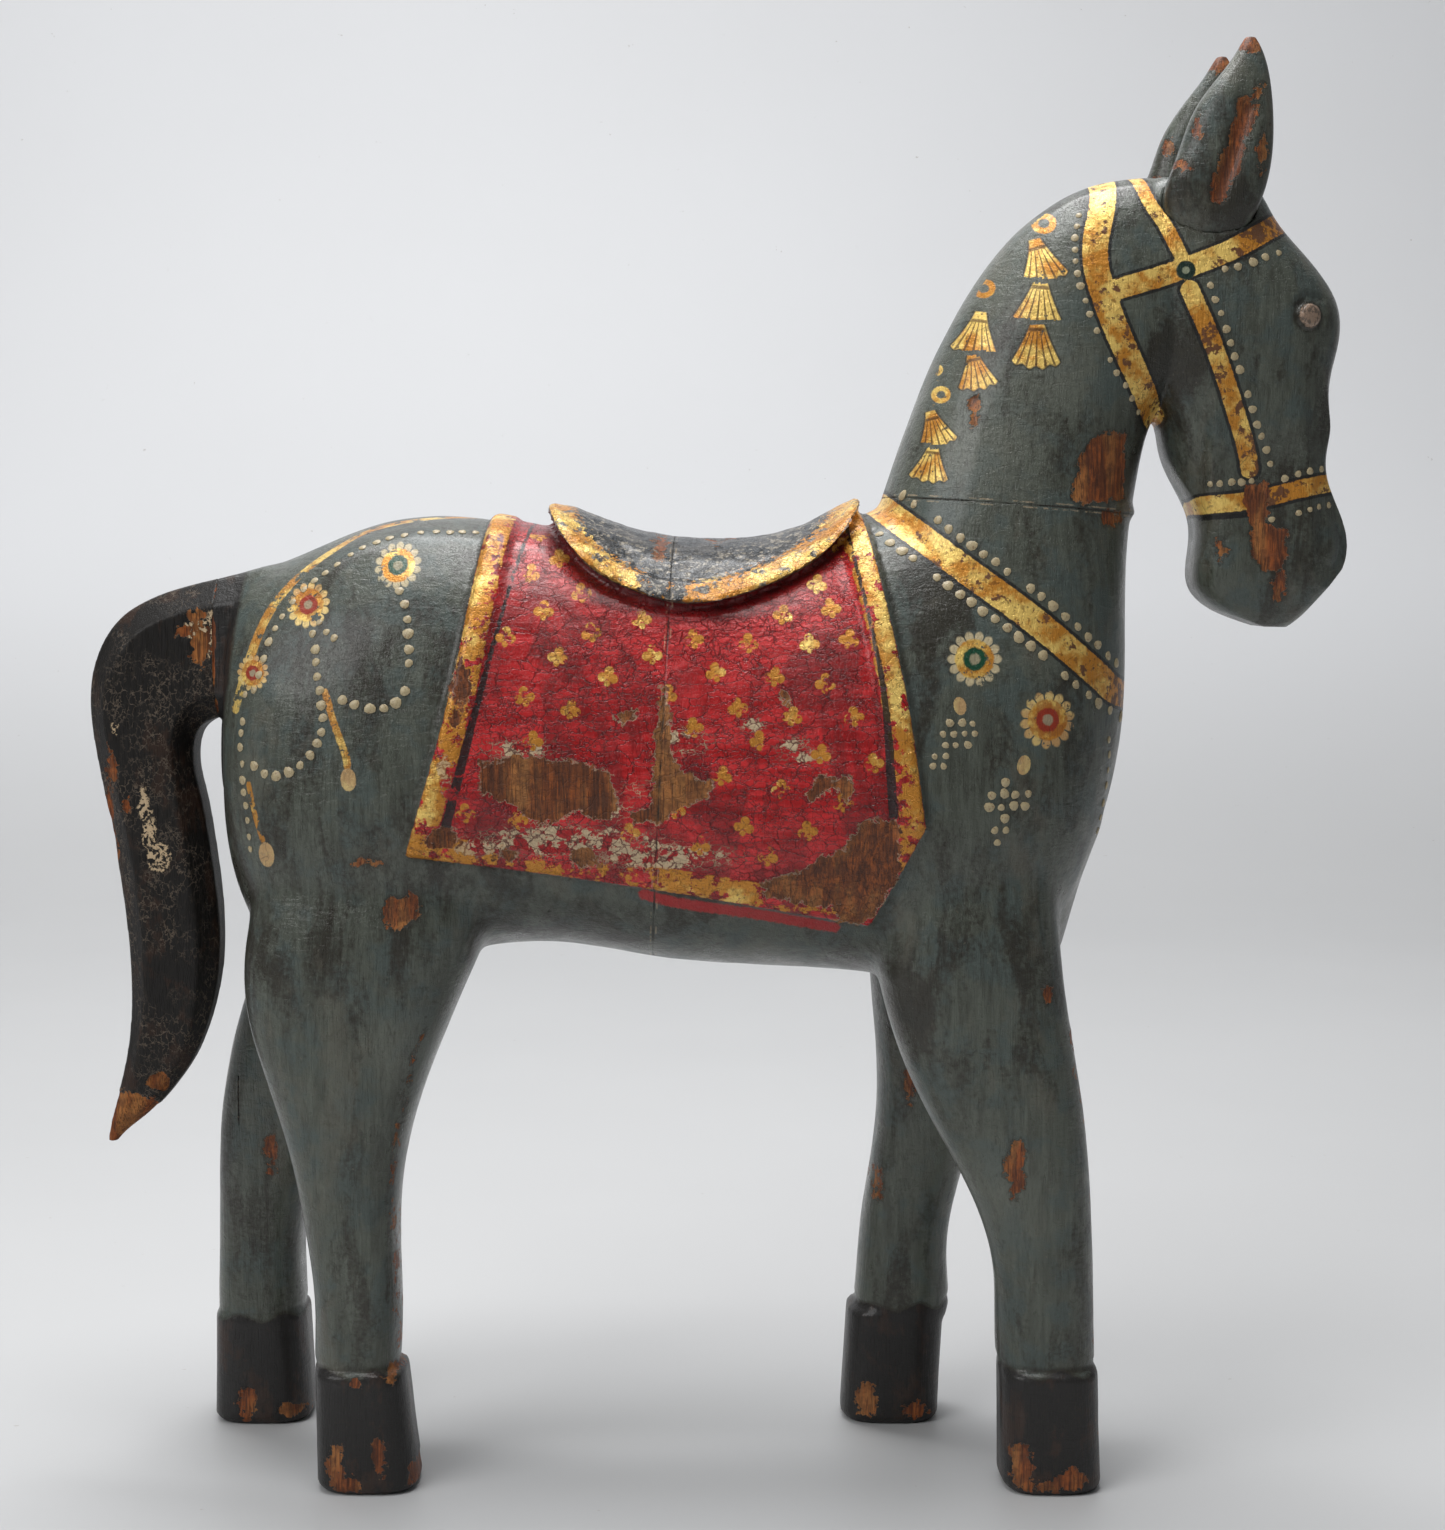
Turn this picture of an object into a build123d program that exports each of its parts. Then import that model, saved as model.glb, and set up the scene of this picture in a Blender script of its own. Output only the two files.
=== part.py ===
"""A carved and painted wooden horse, glued up from separate blocks.

The body is two blocks with a leg pair each, glued face to face across the barrel.
The neck and head, the tail and the ears are separate carvings. Dowels align the
glue joints. Millimetres, +Z up, +X towards the head, +Y the horse's left side.
The origin is on the ground, in the middle of the overall length and width.
"""

import os
from math import cos, pi, sin

from build123d import *

# Driving dimensions
LEG_SPREAD = 26.0  # from the middle plane to the middle of each leg
HOOF_WIDTH = 25.0
HOOF_HEIGHT = 28.5
SOLE_BEVEL = 1.5
HAIR_LINE = 0.7  # rounding at the hoof's top edge
CLOTH_PROUD = 1.0  # saddle cloth above the barrel
RIM_PROUD = 1.9  # rolled edges of the cloth above the barrel
RIM_WIDTH = 6.0
SADDLE_PROUD = 3.4
SADDLE_RIM_PROUD = 4.2
SADDLE_RIM_WIDTH = 5.0
DOWEL_CLEARANCE = 0.05
BARREL_DOWEL = (5.0, 50.0)  # radius and length
NECK_DOWEL = (4.0, 40.0)
TAIL_DOWEL = (4.0, 28.0)
EYE_RADIUS = 2.9
EYE_PROUD = 0.7
LEFT_EAR_SET_BACK = 2.2  # the ears are carved by eye, and the left one sits further back
REACH = 200.0  # longer than any cut needs

# Glue joints
BARREL_SEAM = Plane(origin=(-11.5, 0, 200), x_dir=(0, 1, 0), z_dir=(1, 0, -0.052))
NECK_SEAM = Plane(origin=(67, 0, 231.2), x_dir=(0, 1, 0), z_dir=(0.068, 0, 1))
TAIL_SEAM = Plane(origin=(-120, 0, 197), x_dir=(0, 1, 0), z_dir=(-1, 0, 0))

# Trunk stations from rump to chest: x, belly z, back z, half width
TRUNK = [
    (-119, 161, 186, 9),
    (-116.5, 147, 203, 20),
    (-111.5, 131, 213.8, 29.5),
    (-102, 120, 218.6, 36),
    (-84, 117, 226, 40.2),
    (-64, 123, 228.6, 40.5),
    (-42, 126, 225.4, 40),
    (-10, 121.8, 221, 40),
    (20, 119.8, 222.5, 40.5),
    (40, 118, 231, 41),
    (60, 117, 232, 40),
    (76, 124, 228, 36),
    (86, 138, 222, 29),
    (92, 152, 214, 20),
]
TRUNK_SQUARENESS = 2.35
TRUNK_TAPER = 0.1  # the barrel is narrower over the back than under it

# Chest, neck and crest stations: the rear point and the front point of each
# section in side view, as x and z, and the half width
NECK = [
    (40, 122, 82.6, 122, 25),
    (36, 140, 87.8, 140, 29),
    (33, 165, 95.2, 165, 32),
    (32, 192, 98.2, 192, 33),
    (34, 214, 98.2, 212, 31),
    (39.5, 233, 99.2, 229, 27.5),
    (45, 249, 101.8, 243.5, 24.5),
    (51.5, 266, 106, 254, 22),
    (61, 283.3, 116, 263, 20),
    (74, 298.5, 125, 276, 17.5),
    (88, 306.8, 131, 287, 14.5),
    (103, 309, 134, 297, 9.5),
]
NECK_SQUARENESS = 2.3

# Head stations from the chin up: z, jaw x, face x, half width
HEAD = [
    (202.2, 127, 137, 6),
    (206, 120, 141.6, 10),
    (211.5, 114.4, 147, 12.3),
    (219, 114.0, 150.6, 13.6),
    (233, 112, 147.6, 14.2),
    (249, 105.6, 146.3, 16.2),
    (263, 99, 146.8, 18.2),
    (275, 94, 148.6, 19),
    (286, 92, 143.6, 18.3),
    (297, 93, 134.4, 16),
    (308.5, 102, 126, 8.5),
]
HEAD_SQUARENESS = 2.6
EYE_AT = (138.6, 16.4, 275.2)
EYE_TURN = (0.45, 0.9)  # how far the eye looks forward, and sideways

# Ear stations from the root up: z, rear x, front x, distance from the middle, half thickness
EAR = [
    (291.8, 112, 119.5, 11.5, 3.0),
    (296, 106.6, 124.2, 12.2, 4.8),
    (303, 104.4, 127.6, 13.0, 5.9),
    (312, 107.4, 129.6, 13.2, 5.8),
    (321, 110.6, 129.9, 13.0, 5.2),
    (330, 116.4, 129.1, 12.5, 4.2),
    (336.5, 121.2, 127.4, 12.1, 2.8),
    (340, 123.4, 125.6, 12.0, 1.3),
]

# Leg stations from the hoof up: z, rear x, front x. The right legs step forward.
RIGHT_FORELEG = [
    (24, 66.8, 89.2),
    (45, 65.6, 88.6),
    (60, 63.2, 88.2),
    (75, 56.8, 87.4),
    (90, 48.8, 85.8),
    (105, 42.2, 83.6),
    (120, 37.8, 81.6),
    (140, 38, 80),
    (165, 42, 76),
]
LEFT_FORELEG = [
    (24, 33.2, 56.6),
    (45, 36, 58.4),
    (60, 37.9, 61),
    (75, 39.9, 65),
    (90, 40.4, 69.5),
    (105, 39.3, 75),
    (120, 38, 79.5),
    (140, 38, 80),
    (165, 42, 76),
]
RIGHT_HINDLEG = [
    (24, -94.4, -74.4),
    (45, -95, -75),
    (60, -97, -75.4),
    (75, -99.8, -74.4),
    (90, -103.8, -70.8),
    (105, -108.9, -65.2),
    (120, -111.6, -58.6),
    (140, -109.5, -52.5),
    (168, -104, -62),
]
LEFT_HINDLEG = [
    (24, -127.2, -105.8),
    (45, -127.2, -106),
    (60, -127, -103.8),
    (75, -126.4, -97.5),
    (90, -124.4, -88),
    (105, -120.4, -77),
    (120, -115, -66),
    (140, -109.5, -56),
    (168, -104, -62),
]
# Distance from the middle plane to the inner and outer face of each leg station
LEG_FACES = [
    (14.5, 37.3),
    (14.5, 37.3),
    (13.6, 37.6),
    (11.8, 38.3),
    (9.5, 39.2),
    (6.5, 39.6),
    (3.5, 39.8),
    (2.5, 38),
    (4, 32),
]
LEG_SQUARENESS = 2.7

# Hooves: rear x and front x at the sole, and at the hair line, and the side
HOOVES = {
    "right_fore": (66.8, 90.2, 66.4, 89.4, -1),
    "left_fore": (31.2, 56.0, 33, 57.2, 1),
    "right_hind": (-94.8, -70.4, -94.8, -73.8, -1),
    "left_hind": (-128.4, -103.6, -127.9, -105.2, 1),
}
HOOF_SQUARENESS = 3.4

# Tail stations from the root to the tip: inner x and z, outer x and z, half thickness
TAIL = [
    (-106, 180, -106, 217, 17),
    (-113, 181.6, -113.5, 215.2, 13),
    (-120.5, 180.4, -126, 212.4, 11.5),
    (-126.0, 176, -144, 203.6, 11.2),
    (-126.6, 168.5, -150.9, 188.5, 11),
    (-125.0, 161, -149.9, 171.5, 10.6),
    (-123, 148, -146.4, 152.5, 10),
    (-121.2, 130, -143.4, 131, 9.2),
    (-122.2, 114, -142.8, 112, 8),
    (-128.4, 96, -145, 94.5, 6.6),
    (-139.2, 83, -148, 84.5, 4.4),
    (-147.4, 75.6, -150, 76, 1.6),
]
TAIL_CHAMFER = 0.26  # of the half thickness and of the depth

# Saddle cloth in side view, as x and z
CLOTH_TOP_REAR = (-52, 240)
CLOTH_LEFT_BOW = (-60.8, 188.7)
CLOTH_LOW_REAR = (-71.3, 150.5)
CLOTH_SAG = (-17.8, 143)
CLOTH_LOW_FRONT = (35, 133.8)
CLOTH_CORNER = (47.4, 157)
CLOTH_RIGHT_BOW = (42.4, 190)
CLOTH_TOP_FRONT = (31.5, 240)

# Saddle stations from cantle to pommel: x and seat z. Its skirt ends along a round line.
SADDLE = [
    (-42.5, 228),
    (-39.5, 231.2),
    (-31, 229.8),
    (-19, 225.6),
    (-4, 223.6),
    (10, 224),
    (21, 226.8),
    (29, 231.2),
    (32.3, 232.4),
    (35.5, 230),
]
SADDLE_LOW = 122.0
SADDLE_HALF_WIDTH = 40.2
SKIRT_LINE = [(36.5, 236), (25.7, 220.5), (11, 212), (-6.3, 208), (-22, 212), (-33, 219.5), (-43.5, 236)]

OUTLINE_POINTS = 16


def rounded_section(plane, half_u, half_v, squareness, taper=0.0):
    """A closed smooth outline: 2 is an ellipse, and a larger squareness is a fuller one."""
    points = []
    for step in range(OUTLINE_POINTS):
        turn = 2 * pi * step / OUTLINE_POINTS
        across = abs(cos(turn)) ** (2 / squareness) * (1 if cos(turn) >= 0 else -1)
        up = abs(sin(turn)) ** (2 / squareness) * (1 if sin(turn) >= 0 else -1)
        points.append((half_u * across * (1 - taper * up), half_v * up))
    with BuildSketch(plane) as section:
        with BuildLine():
            Spline(*points, periodic=True)
        make_face()
    return section.sketch


def side_view_plane(rear, front):
    """A plane square to the middle plane, through two side-view points, with u across the horse."""
    middle = ((rear[0] + front[0]) / 2, 0, (rear[1] + front[1]) / 2)
    along = Vector(front[0] - rear[0], 0, front[1] - rear[1]).normalized()
    across = Vector(0, 1, 0)
    return Plane(origin=middle, x_dir=across, z_dir=across.cross(along))


def distance(first, second):
    """Length between two side-view points."""
    return ((first[0] - second[0]) ** 2 + (first[1] - second[1]) ** 2) ** 0.5


def trunk_sections(proud=0.0):
    """The barrel's stations, each grown outward by proud."""
    sections = []
    for x, low, high, half_width in TRUNK:
        plane = Plane(origin=(x, 0, (low + high) / 2), x_dir=(0, 1, 0), z_dir=(1, 0, 0))
        half_height = (high - low) / 2 + proud
        sections.append(
            rounded_section(plane, half_width + proud, half_height, TRUNK_SQUARENESS, TRUNK_TAPER)
        )
    return sections


def neck_sections():
    """Chest, neck and crest, each station across the neck's own line."""
    sections = []
    for rear_x, rear_z, front_x, front_z, half_width in NECK:
        rear, front = (rear_x, rear_z), (front_x, front_z)
        plane = side_view_plane(rear, front)
        sections.append(rounded_section(plane, half_width, distance(rear, front) / 2, NECK_SQUARENESS))
    return sections


def upright_sections(stations, squareness):
    """Stations on level planes: z, rear x, front x, middle y, half width."""
    sections = []
    for z, rear, front, middle_y, half_width in stations:
        plane = Plane(origin=((rear + front) / 2, middle_y, z), x_dir=(0, 1, 0), z_dir=(0, 0, 1))
        sections.append(rounded_section(plane, half_width, (front - rear) / 2, squareness))
    return sections


def head_sections():
    """The head hangs from the poll, so its stations are level."""
    stations = [(z, jaw, face, 0, half_width) for z, jaw, face, half_width in HEAD]
    return upright_sections(stations, HEAD_SQUARENESS)


def ear_sections(side, set_back=0.0):
    """One ear, on the left for side 1 and on the right for side -1."""
    stations = [
        (z, rear - set_back, front - set_back, side * out, thick)
        for z, rear, front, out, thick in EAR
    ]
    return upright_sections(stations, HEAD_SQUARENESS)


def leg_sections(stations, side):
    """One leg from above the hoof to inside the body."""
    placed = []
    for (z, rear, front), (inner, outer) in zip(stations, LEG_FACES):
        placed.append((z, rear, front, side * (inner + outer) / 2, (outer - inner) / 2))
    return upright_sections(placed, LEG_SQUARENESS)


def hoof_sections(sole_rear, sole_front, top_rear, top_front, side):
    """A squarish hoof with a bevelled sole and a hair line that stands a little proud."""
    half = HOOF_WIDTH / 2
    middle = side * LEG_SPREAD
    bevel = SOLE_BEVEL
    top_half = half - 0.5
    stations = [
        (0, sole_rear + bevel, sole_front - bevel, middle, half - bevel),
        (bevel, sole_rear, sole_front, middle, half),
        (HOOF_HEIGHT - HAIR_LINE, top_rear, top_front, middle, top_half),
        (HOOF_HEIGHT, top_rear + HAIR_LINE, top_front - HAIR_LINE, middle, top_half - HAIR_LINE),
    ]
    return upright_sections(stations, HOOF_SQUARENESS)


def tail_sections():
    """Chamfered bars across the tail's curve, from the root to the tip."""
    sections = []
    for inner_x, inner_z, outer_x, outer_z, half_thickness in TAIL:
        inner, outer = (inner_x, inner_z), (outer_x, outer_z)
        depth = distance(inner, outer)
        with BuildSketch(side_view_plane(inner, outer)) as section:
            Rectangle(2 * half_thickness, depth)
            chamfer(section.vertices(), TAIL_CHAMFER * min(2 * half_thickness, depth))
        sections.append(section.sketch)
    return sections


def dowel_plane(centre, axis):
    """The plane across a dowel's middle."""
    return Plane(origin=centre, z_dir=axis)


BARREL_DOWELS = {
    "upper_barrel_dowel": dowel_plane((-11.5, 0, 196), (1, 0, 0)),
    "lower_barrel_dowel": dowel_plane((-13.5, 0, 152), (1, 0, 0)),
}
NECK_DOWELS = {
    "rear_neck_dowel": dowel_plane((58, 0, 231.8), (0, 0, 1)),
    "front_neck_dowel": dowel_plane((81, 0, 230.3), (0, 0, 1)),
}
TAIL_DOWEL_PLANE = dowel_plane((-120, 0, 197), (1, 0, 0))


def dowel_bores(planes, size):
    """Solids to subtract where the dowels go."""
    radius, length = size
    with BuildPart() as bores:
        for plane in planes:
            with BuildSketch(plane):
                Circle(radius + DOWEL_CLEARANCE)
            extrude(amount=length / 2 + 1, both=True)
    return bores.part


def outline_prism(points_to_draw):
    """A side-view outline carried right through the horse."""
    with BuildPart() as prism:
        with BuildSketch(Plane.XZ):
            with BuildLine():
                points_to_draw()
            make_face()
        extrude(amount=REACH / 2, both=True)
    return prism.part


def draw_cloth():
    """Front and rear edges bow a little, and the hem runs down to the cut front corner."""
    ThreePointArc(CLOTH_TOP_REAR, CLOTH_LEFT_BOW, CLOTH_LOW_REAR)
    ThreePointArc(CLOTH_LOW_REAR, CLOTH_SAG, CLOTH_LOW_FRONT)
    Line(CLOTH_LOW_FRONT, CLOTH_CORNER)
    ThreePointArc(CLOTH_CORNER, CLOTH_RIGHT_BOW, CLOTH_TOP_FRONT)
    Line(CLOTH_TOP_FRONT, CLOTH_TOP_REAR)


def shifted(point, amount):
    """The same side-view point, moved along x."""
    return (point[0] + amount, point[1])


def draw_rear_rim():
    """The rolled rear edge."""
    ThreePointArc(CLOTH_TOP_REAR, CLOTH_LEFT_BOW, CLOTH_LOW_REAR)
    Line(CLOTH_LOW_REAR, shifted(CLOTH_LOW_REAR, RIM_WIDTH))
    ThreePointArc(
        shifted(CLOTH_LOW_REAR, RIM_WIDTH),
        shifted(CLOTH_LEFT_BOW, RIM_WIDTH),
        shifted(CLOTH_TOP_REAR, RIM_WIDTH),
    )
    Line(shifted(CLOTH_TOP_REAR, RIM_WIDTH), CLOTH_TOP_REAR)


def draw_front_rim():
    """The rolled front edge."""
    ThreePointArc(CLOTH_TOP_FRONT, CLOTH_RIGHT_BOW, CLOTH_CORNER)
    Line(CLOTH_CORNER, shifted(CLOTH_CORNER, -RIM_WIDTH))
    ThreePointArc(
        shifted(CLOTH_CORNER, -RIM_WIDTH),
        shifted(CLOTH_RIGHT_BOW, -RIM_WIDTH),
        shifted(CLOTH_TOP_FRONT, -RIM_WIDTH),
    )
    Line(shifted(CLOTH_TOP_FRONT, -RIM_WIDTH), CLOTH_TOP_FRONT)


def draw_saddle():
    """Everything above the skirt's round lower edge."""
    Spline(*SKIRT_LINE)
    Line(SKIRT_LINE[-1], SKIRT_LINE[0])


def draw_saddle_rim():
    """The raised band along the skirt's lower edge."""
    raised = [(x, z + SADDLE_RIM_WIDTH) for x, z in SKIRT_LINE]
    Spline(*SKIRT_LINE)
    Line(SKIRT_LINE[-1], raised[-1])
    Spline(*reversed(raised))
    Line(raised[0], SKIRT_LINE[0])


def relief(draw, sections):
    """A raised layer: the grown barrel or saddle, kept inside an outline."""
    with BuildPart() as layer:
        loft(sections=sections)
        add(outline_prism(draw), mode=Mode.INTERSECT)
    return layer.part


def saddle_sections(proud):
    """The saddle's stations: the barrel's own roundness, carried up to the seat's height."""
    sections = []
    for x, seat in SADDLE:
        plane = Plane(origin=(x, 0, (SADDLE_LOW + seat) / 2), x_dir=(0, 1, 0), z_dir=(1, 0, 0))
        half_height = (seat - SADDLE_LOW) / 2 + proud - SADDLE_PROUD
        half_width = SADDLE_HALF_WIDTH + proud
        sections.append(
            rounded_section(plane, half_width, half_height, TRUNK_SQUARENESS, TRUNK_TAPER)
        )
    return sections


def finish(piece, name):
    """Label a finished piece and write its file."""
    piece.part.label = name
    export_step(piece.part, f"parts/{name}.step")


os.makedirs("parts", exist_ok=True)

# Ears
with BuildPart() as left_ear:
    loft(sections=ear_sections(1, LEFT_EAR_SET_BACK))

with BuildPart() as right_ear:
    loft(sections=ear_sections(-1))

# Tail, behind the joint at the end of the dock
with BuildPart() as tail:
    loft(sections=tail_sections())
    split(bisect_by=TAIL_SEAM, keep=Keep.TOP)
    add(dowel_bores([TAIL_DOWEL_PLANE], TAIL_DOWEL), mode=Mode.SUBTRACT)

# The dock: the same bar, from inside the rump to the joint
with BuildPart() as dock:
    loft(sections=tail_sections())
    split(bisect_by=TAIL_SEAM, keep=Keep.BOTTOM)

# Saddle cloth and saddle, carved in relief across both body blocks
with BuildPart() as tack:
    add(relief(draw_cloth, trunk_sections(CLOTH_PROUD)))
    add(relief(draw_rear_rim, trunk_sections(RIM_PROUD)))
    add(relief(draw_front_rim, trunk_sections(RIM_PROUD)))
    add(relief(draw_saddle, saddle_sections(SADDLE_PROUD)))
    add(relief(draw_saddle_rim, saddle_sections(SADDLE_RIM_PROUD)))

# Hindquarter block with both hind legs
with BuildPart() as hindquarter_block:
    loft(sections=trunk_sections())
    loft(sections=leg_sections(RIGHT_HINDLEG, -1))
    loft(sections=leg_sections(LEFT_HINDLEG, 1))
    loft(sections=hoof_sections(*HOOVES["right_hind"]), ruled=True)
    loft(sections=hoof_sections(*HOOVES["left_hind"]), ruled=True)
    add(tack.part)
    add(dock.part)
    split(bisect_by=BARREL_SEAM, keep=Keep.BOTTOM)
    add(dowel_bores(BARREL_DOWELS.values(), BARREL_DOWEL), mode=Mode.SUBTRACT)
    add(dowel_bores([TAIL_DOWEL_PLANE], TAIL_DOWEL), mode=Mode.SUBTRACT)

# Forehand block with both forelegs
with BuildPart() as forehand_block:
    loft(sections=trunk_sections())
    loft(sections=neck_sections())
    loft(sections=leg_sections(RIGHT_FORELEG, -1))
    loft(sections=leg_sections(LEFT_FORELEG, 1))
    loft(sections=hoof_sections(*HOOVES["right_fore"]), ruled=True)
    loft(sections=hoof_sections(*HOOVES["left_fore"]), ruled=True)
    add(tack.part)
    split(bisect_by=BARREL_SEAM, keep=Keep.TOP)
    split(bisect_by=NECK_SEAM, keep=Keep.BOTTOM)
    add(dowel_bores(BARREL_DOWELS.values(), BARREL_DOWEL), mode=Mode.SUBTRACT)
    add(dowel_bores(NECK_DOWELS.values(), NECK_DOWEL), mode=Mode.SUBTRACT)

# Neck and head, with an eye carved on each side
with BuildPart() as neck_and_head:
    loft(sections=neck_sections())
    split(bisect_by=NECK_SEAM, keep=Keep.TOP)
    loft(sections=head_sections())
    for side in (-1, 1):
        eye_plane = Plane(
            origin=(EYE_AT[0], side * EYE_AT[1], EYE_AT[2]),
            z_dir=(EYE_TURN[0], side * EYE_TURN[1], 0),
        )
        with BuildSketch(eye_plane.offset(-2)):
            Circle(EYE_RADIUS)
        extrude(amount=2 + EYE_PROUD)
    add(left_ear.part, mode=Mode.SUBTRACT)
    add(right_ear.part, mode=Mode.SUBTRACT)
    add(dowel_bores(NECK_DOWELS.values(), NECK_DOWEL), mode=Mode.SUBTRACT)

finish(left_ear, "left_ear")
finish(right_ear, "right_ear")
finish(tail, "tail")
finish(hindquarter_block, "hindquarter_block")
finish(forehand_block, "forehand_block")
finish(neck_and_head, "neck_and_head")

# Dowels across the glue joints
DOWELS = [(BARREL_DOWELS, BARREL_DOWEL), (NECK_DOWELS, NECK_DOWEL), ({"tail_dowel": TAIL_DOWEL_PLANE}, TAIL_DOWEL)]
for group, (radius, length) in DOWELS:
    for name, plane in group.items():
        with BuildPart() as dowel:
            with BuildSketch(plane):
                Circle(radius)
            extrude(amount=length / 2, both=True)
            chamfer(dowel.edges().filter_by(GeomType.CIRCLE), 0.6)
        finish(dowel, name)
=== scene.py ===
import math
import random

import bmesh
import bpy
import numpy as np
from mathutils import Matrix, Vector
from mathutils.bvhtree import BVHTree


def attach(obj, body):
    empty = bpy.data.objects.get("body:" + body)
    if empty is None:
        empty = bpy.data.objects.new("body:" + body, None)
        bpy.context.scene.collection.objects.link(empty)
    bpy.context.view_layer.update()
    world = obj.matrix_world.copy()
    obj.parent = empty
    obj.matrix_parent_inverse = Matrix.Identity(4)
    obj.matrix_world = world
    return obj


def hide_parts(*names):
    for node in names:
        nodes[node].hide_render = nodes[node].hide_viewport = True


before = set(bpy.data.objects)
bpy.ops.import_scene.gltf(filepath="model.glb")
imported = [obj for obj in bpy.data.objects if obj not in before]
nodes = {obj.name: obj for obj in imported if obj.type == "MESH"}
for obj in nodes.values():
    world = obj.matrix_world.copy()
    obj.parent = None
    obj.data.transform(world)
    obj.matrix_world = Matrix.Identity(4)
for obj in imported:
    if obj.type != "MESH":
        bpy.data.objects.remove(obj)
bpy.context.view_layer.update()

# ---- Layout of the carving and the painting, in millimetres: x to the head, y to the left, z up ----
# Points are (x, z) on the horse's side unless the comment says otherwise.

MM = 0.001
BODY_VOXEL = 0.9
HEAD_VOXEL = 0.6
EAR_VOXEL = 0.45
TAIL_VOXEL = 0.8
FAR = 99.0  # a distance that is well outside every painted area
NO_MOTIF = 9.0  # the same, in a motif's own size
ON_PLANE = 2e-6  # in metres

# glue joints: a point on each plane, and its direction
BARREL_SEAM = ((-11.5, 0, 200), (1, 0, -0.052))
NECK_SEAM = ((67, 0, 231.2), (0.068, 0, 1))
TAIL_SEAM = ((-120, 0, 197), (-1, 0, 0))

# each block's net reaches a little past its joint, to these planes
NECK_CROPS = (((67, 0, 216), (0.5, 0, 1)), ((30, 0, 231), (1, 0, 0)))
TAIL_CROPS = (((-104, 0, 197), (-1, 0, 0)),)
SEAM_HALF_WIDTH = 0.35
SEAM_DEPTH = 0.16
NECK_REAR = 37.5  # the saddle's front peak, which is not the neck, is behind this x
NECK_FRONT = 104  # and the head is in front of this one
TAIL_HALF_WIDTH = 12.9  # the left hind leg is further out than this
DOCK_LOW = 150

CHEEK_FLATNESS = 1.7

# flat cuts of the knife on the head: a point on the cut, and its direction; side cuts are mirrored
MUZZLE_CUTS = (((145.3, 0, 211.4), (0.757, 0, -0.65)), ((124, 0, 204.6), (-0.34, 0, -0.94)))
JAW_CUTS = (
    ((117.6, -13.6, 226), (-0.71, -0.69, -0.11)), ((126, -13.4, 206.5), (-0.12, -0.62, -0.77)),
    ((141, -13.2, 208.5), (0.42, -0.7, -0.55)), ((141.5, -13, 262), (0.62, -0.78, 0)),
)

HOOF_TOP = 28.5
SIDEWAYS = 0.36  # motifs stay where the surface faces the side at least this much
MOTIF_MARGIN = 0.12  # bare strip half way between two motifs, in their own size
LEFT_DRIFT = 1.6  # how far the left side's painting strays from the right side's
LEFT_EAR_SET_BACK = 2.2

# saddle cloth, from the back round the lower edge to the front
CLOTH_REAR = ((-52, 240), (-60.8, 188.7), (-71.3, 150.5))
CLOTH_LOWER = ((-71.3, 150.5), (-17.8, 143), (35, 133.8))
CLOTH_FRONT = ((47.4, 157), (42.4, 190), (31.5, 240))
CLOTH_BORDER = 5.6
CLOTH_LINES = (
    ((-41.5, 232), (-44.5, 225), (-53.5, 190), (-62.1, 156.5)),
    ((30, 228), (31, 221.5), (37.5, 190), (40, 160)),
)
SADDLE_EDGE = (
    (37, 238), (36.5, 236), (25.7, 220.5), (11, 212), (-6.3, 208), (-22, 212), (-33, 219.5), (-43.5, 236),
    (-44, 238),
)
SADDLE_BORDER = 5.2

# gilt clovers on the cloth
CLOVERS = (
    (-42, 224.5), (-37, 218.5), (-43.5, 215), (-31.5, 210.5), (-40, 206.5), (-48.5, 200.5), (-29, 201.5),
    (-36.5, 196), (-17.5, 204.5), (-15, 196.5), (-25, 191.5), (-44, 187), (-33.5, 184), (-42, 177),
    (-5.5, 200), (-11.5, 187.5), (-5.5, 180), (29, 221), (23, 212.5), (26, 207), (15, 205.5), (7, 199),
    (21, 199), (30, 200), (-0.5, 192.5), (13, 191.5), (24.5, 190), (4.5, 184.5), (17, 182.5), (31, 182.5),
    (9.5, 177), (23.5, 174), (35.5, 172), (1, 169), (14.5, 166), (28.5, 163), (6, 157.5), (20.5, 156.5),
    (-4, 153), (11.5, 150.5), (-20, 156), (-9.5, 161.5), (-57.5, 160.5), (-45.5, 159),
)
CLOVER_SIZE = 2.5

# bridle and breast straps: half width, then the middle line
HEADSTALL = (2.95, ((92, 316), (90.5, 302.5), (88, 289.5), (90.4, 278), (95.8, 265.3), (103, 252)))
CROWN_STRAP = (1.6, ((98, 312), (101, 302.3), (104.5, 296.2), (108, 289)))
BROWBAND = (2.4, ((93, 281), (105.7, 284.9), (119.4, 290.1), (132, 297), (140, 301)))
CHEEK_STRAP = (2.1, ((110, 281), (116.8, 265.4), (123.7, 246), (125.3, 239.5)))
NOSEBAND = (2.1, ((114.5, 231), (127, 232.3), (138, 235), (152, 237.5)))
BREAST_STRAP = (
    3.1, ((36, 234), (40.7, 228.7), (55.9, 216.7), (71.8, 205), (87.7, 192.1), (95, 186.8), (110, 183)),
)
CRUPPER = (
    1.5,
    (
        (-54.5, 228.5), (-68.9, 228), (-80, 226), (-87.1, 222.9), (-98.1, 214.6), (-105.5, 204.2),
        (-110.9, 188), (-112.2, 183.5),
    ),
)
RUMP_CORDS = (
    (0.85, ((-89.8, 188), (-87.8, 181.5), (-84.9, 173.7), (-84.4, 171))),
    (0.8, ((-108.4, 166.5), (-107, 160), (-105, 153.7))),
)
NOSE_LINE = (0.55, ((115, 228), (127, 228.8)))
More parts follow.
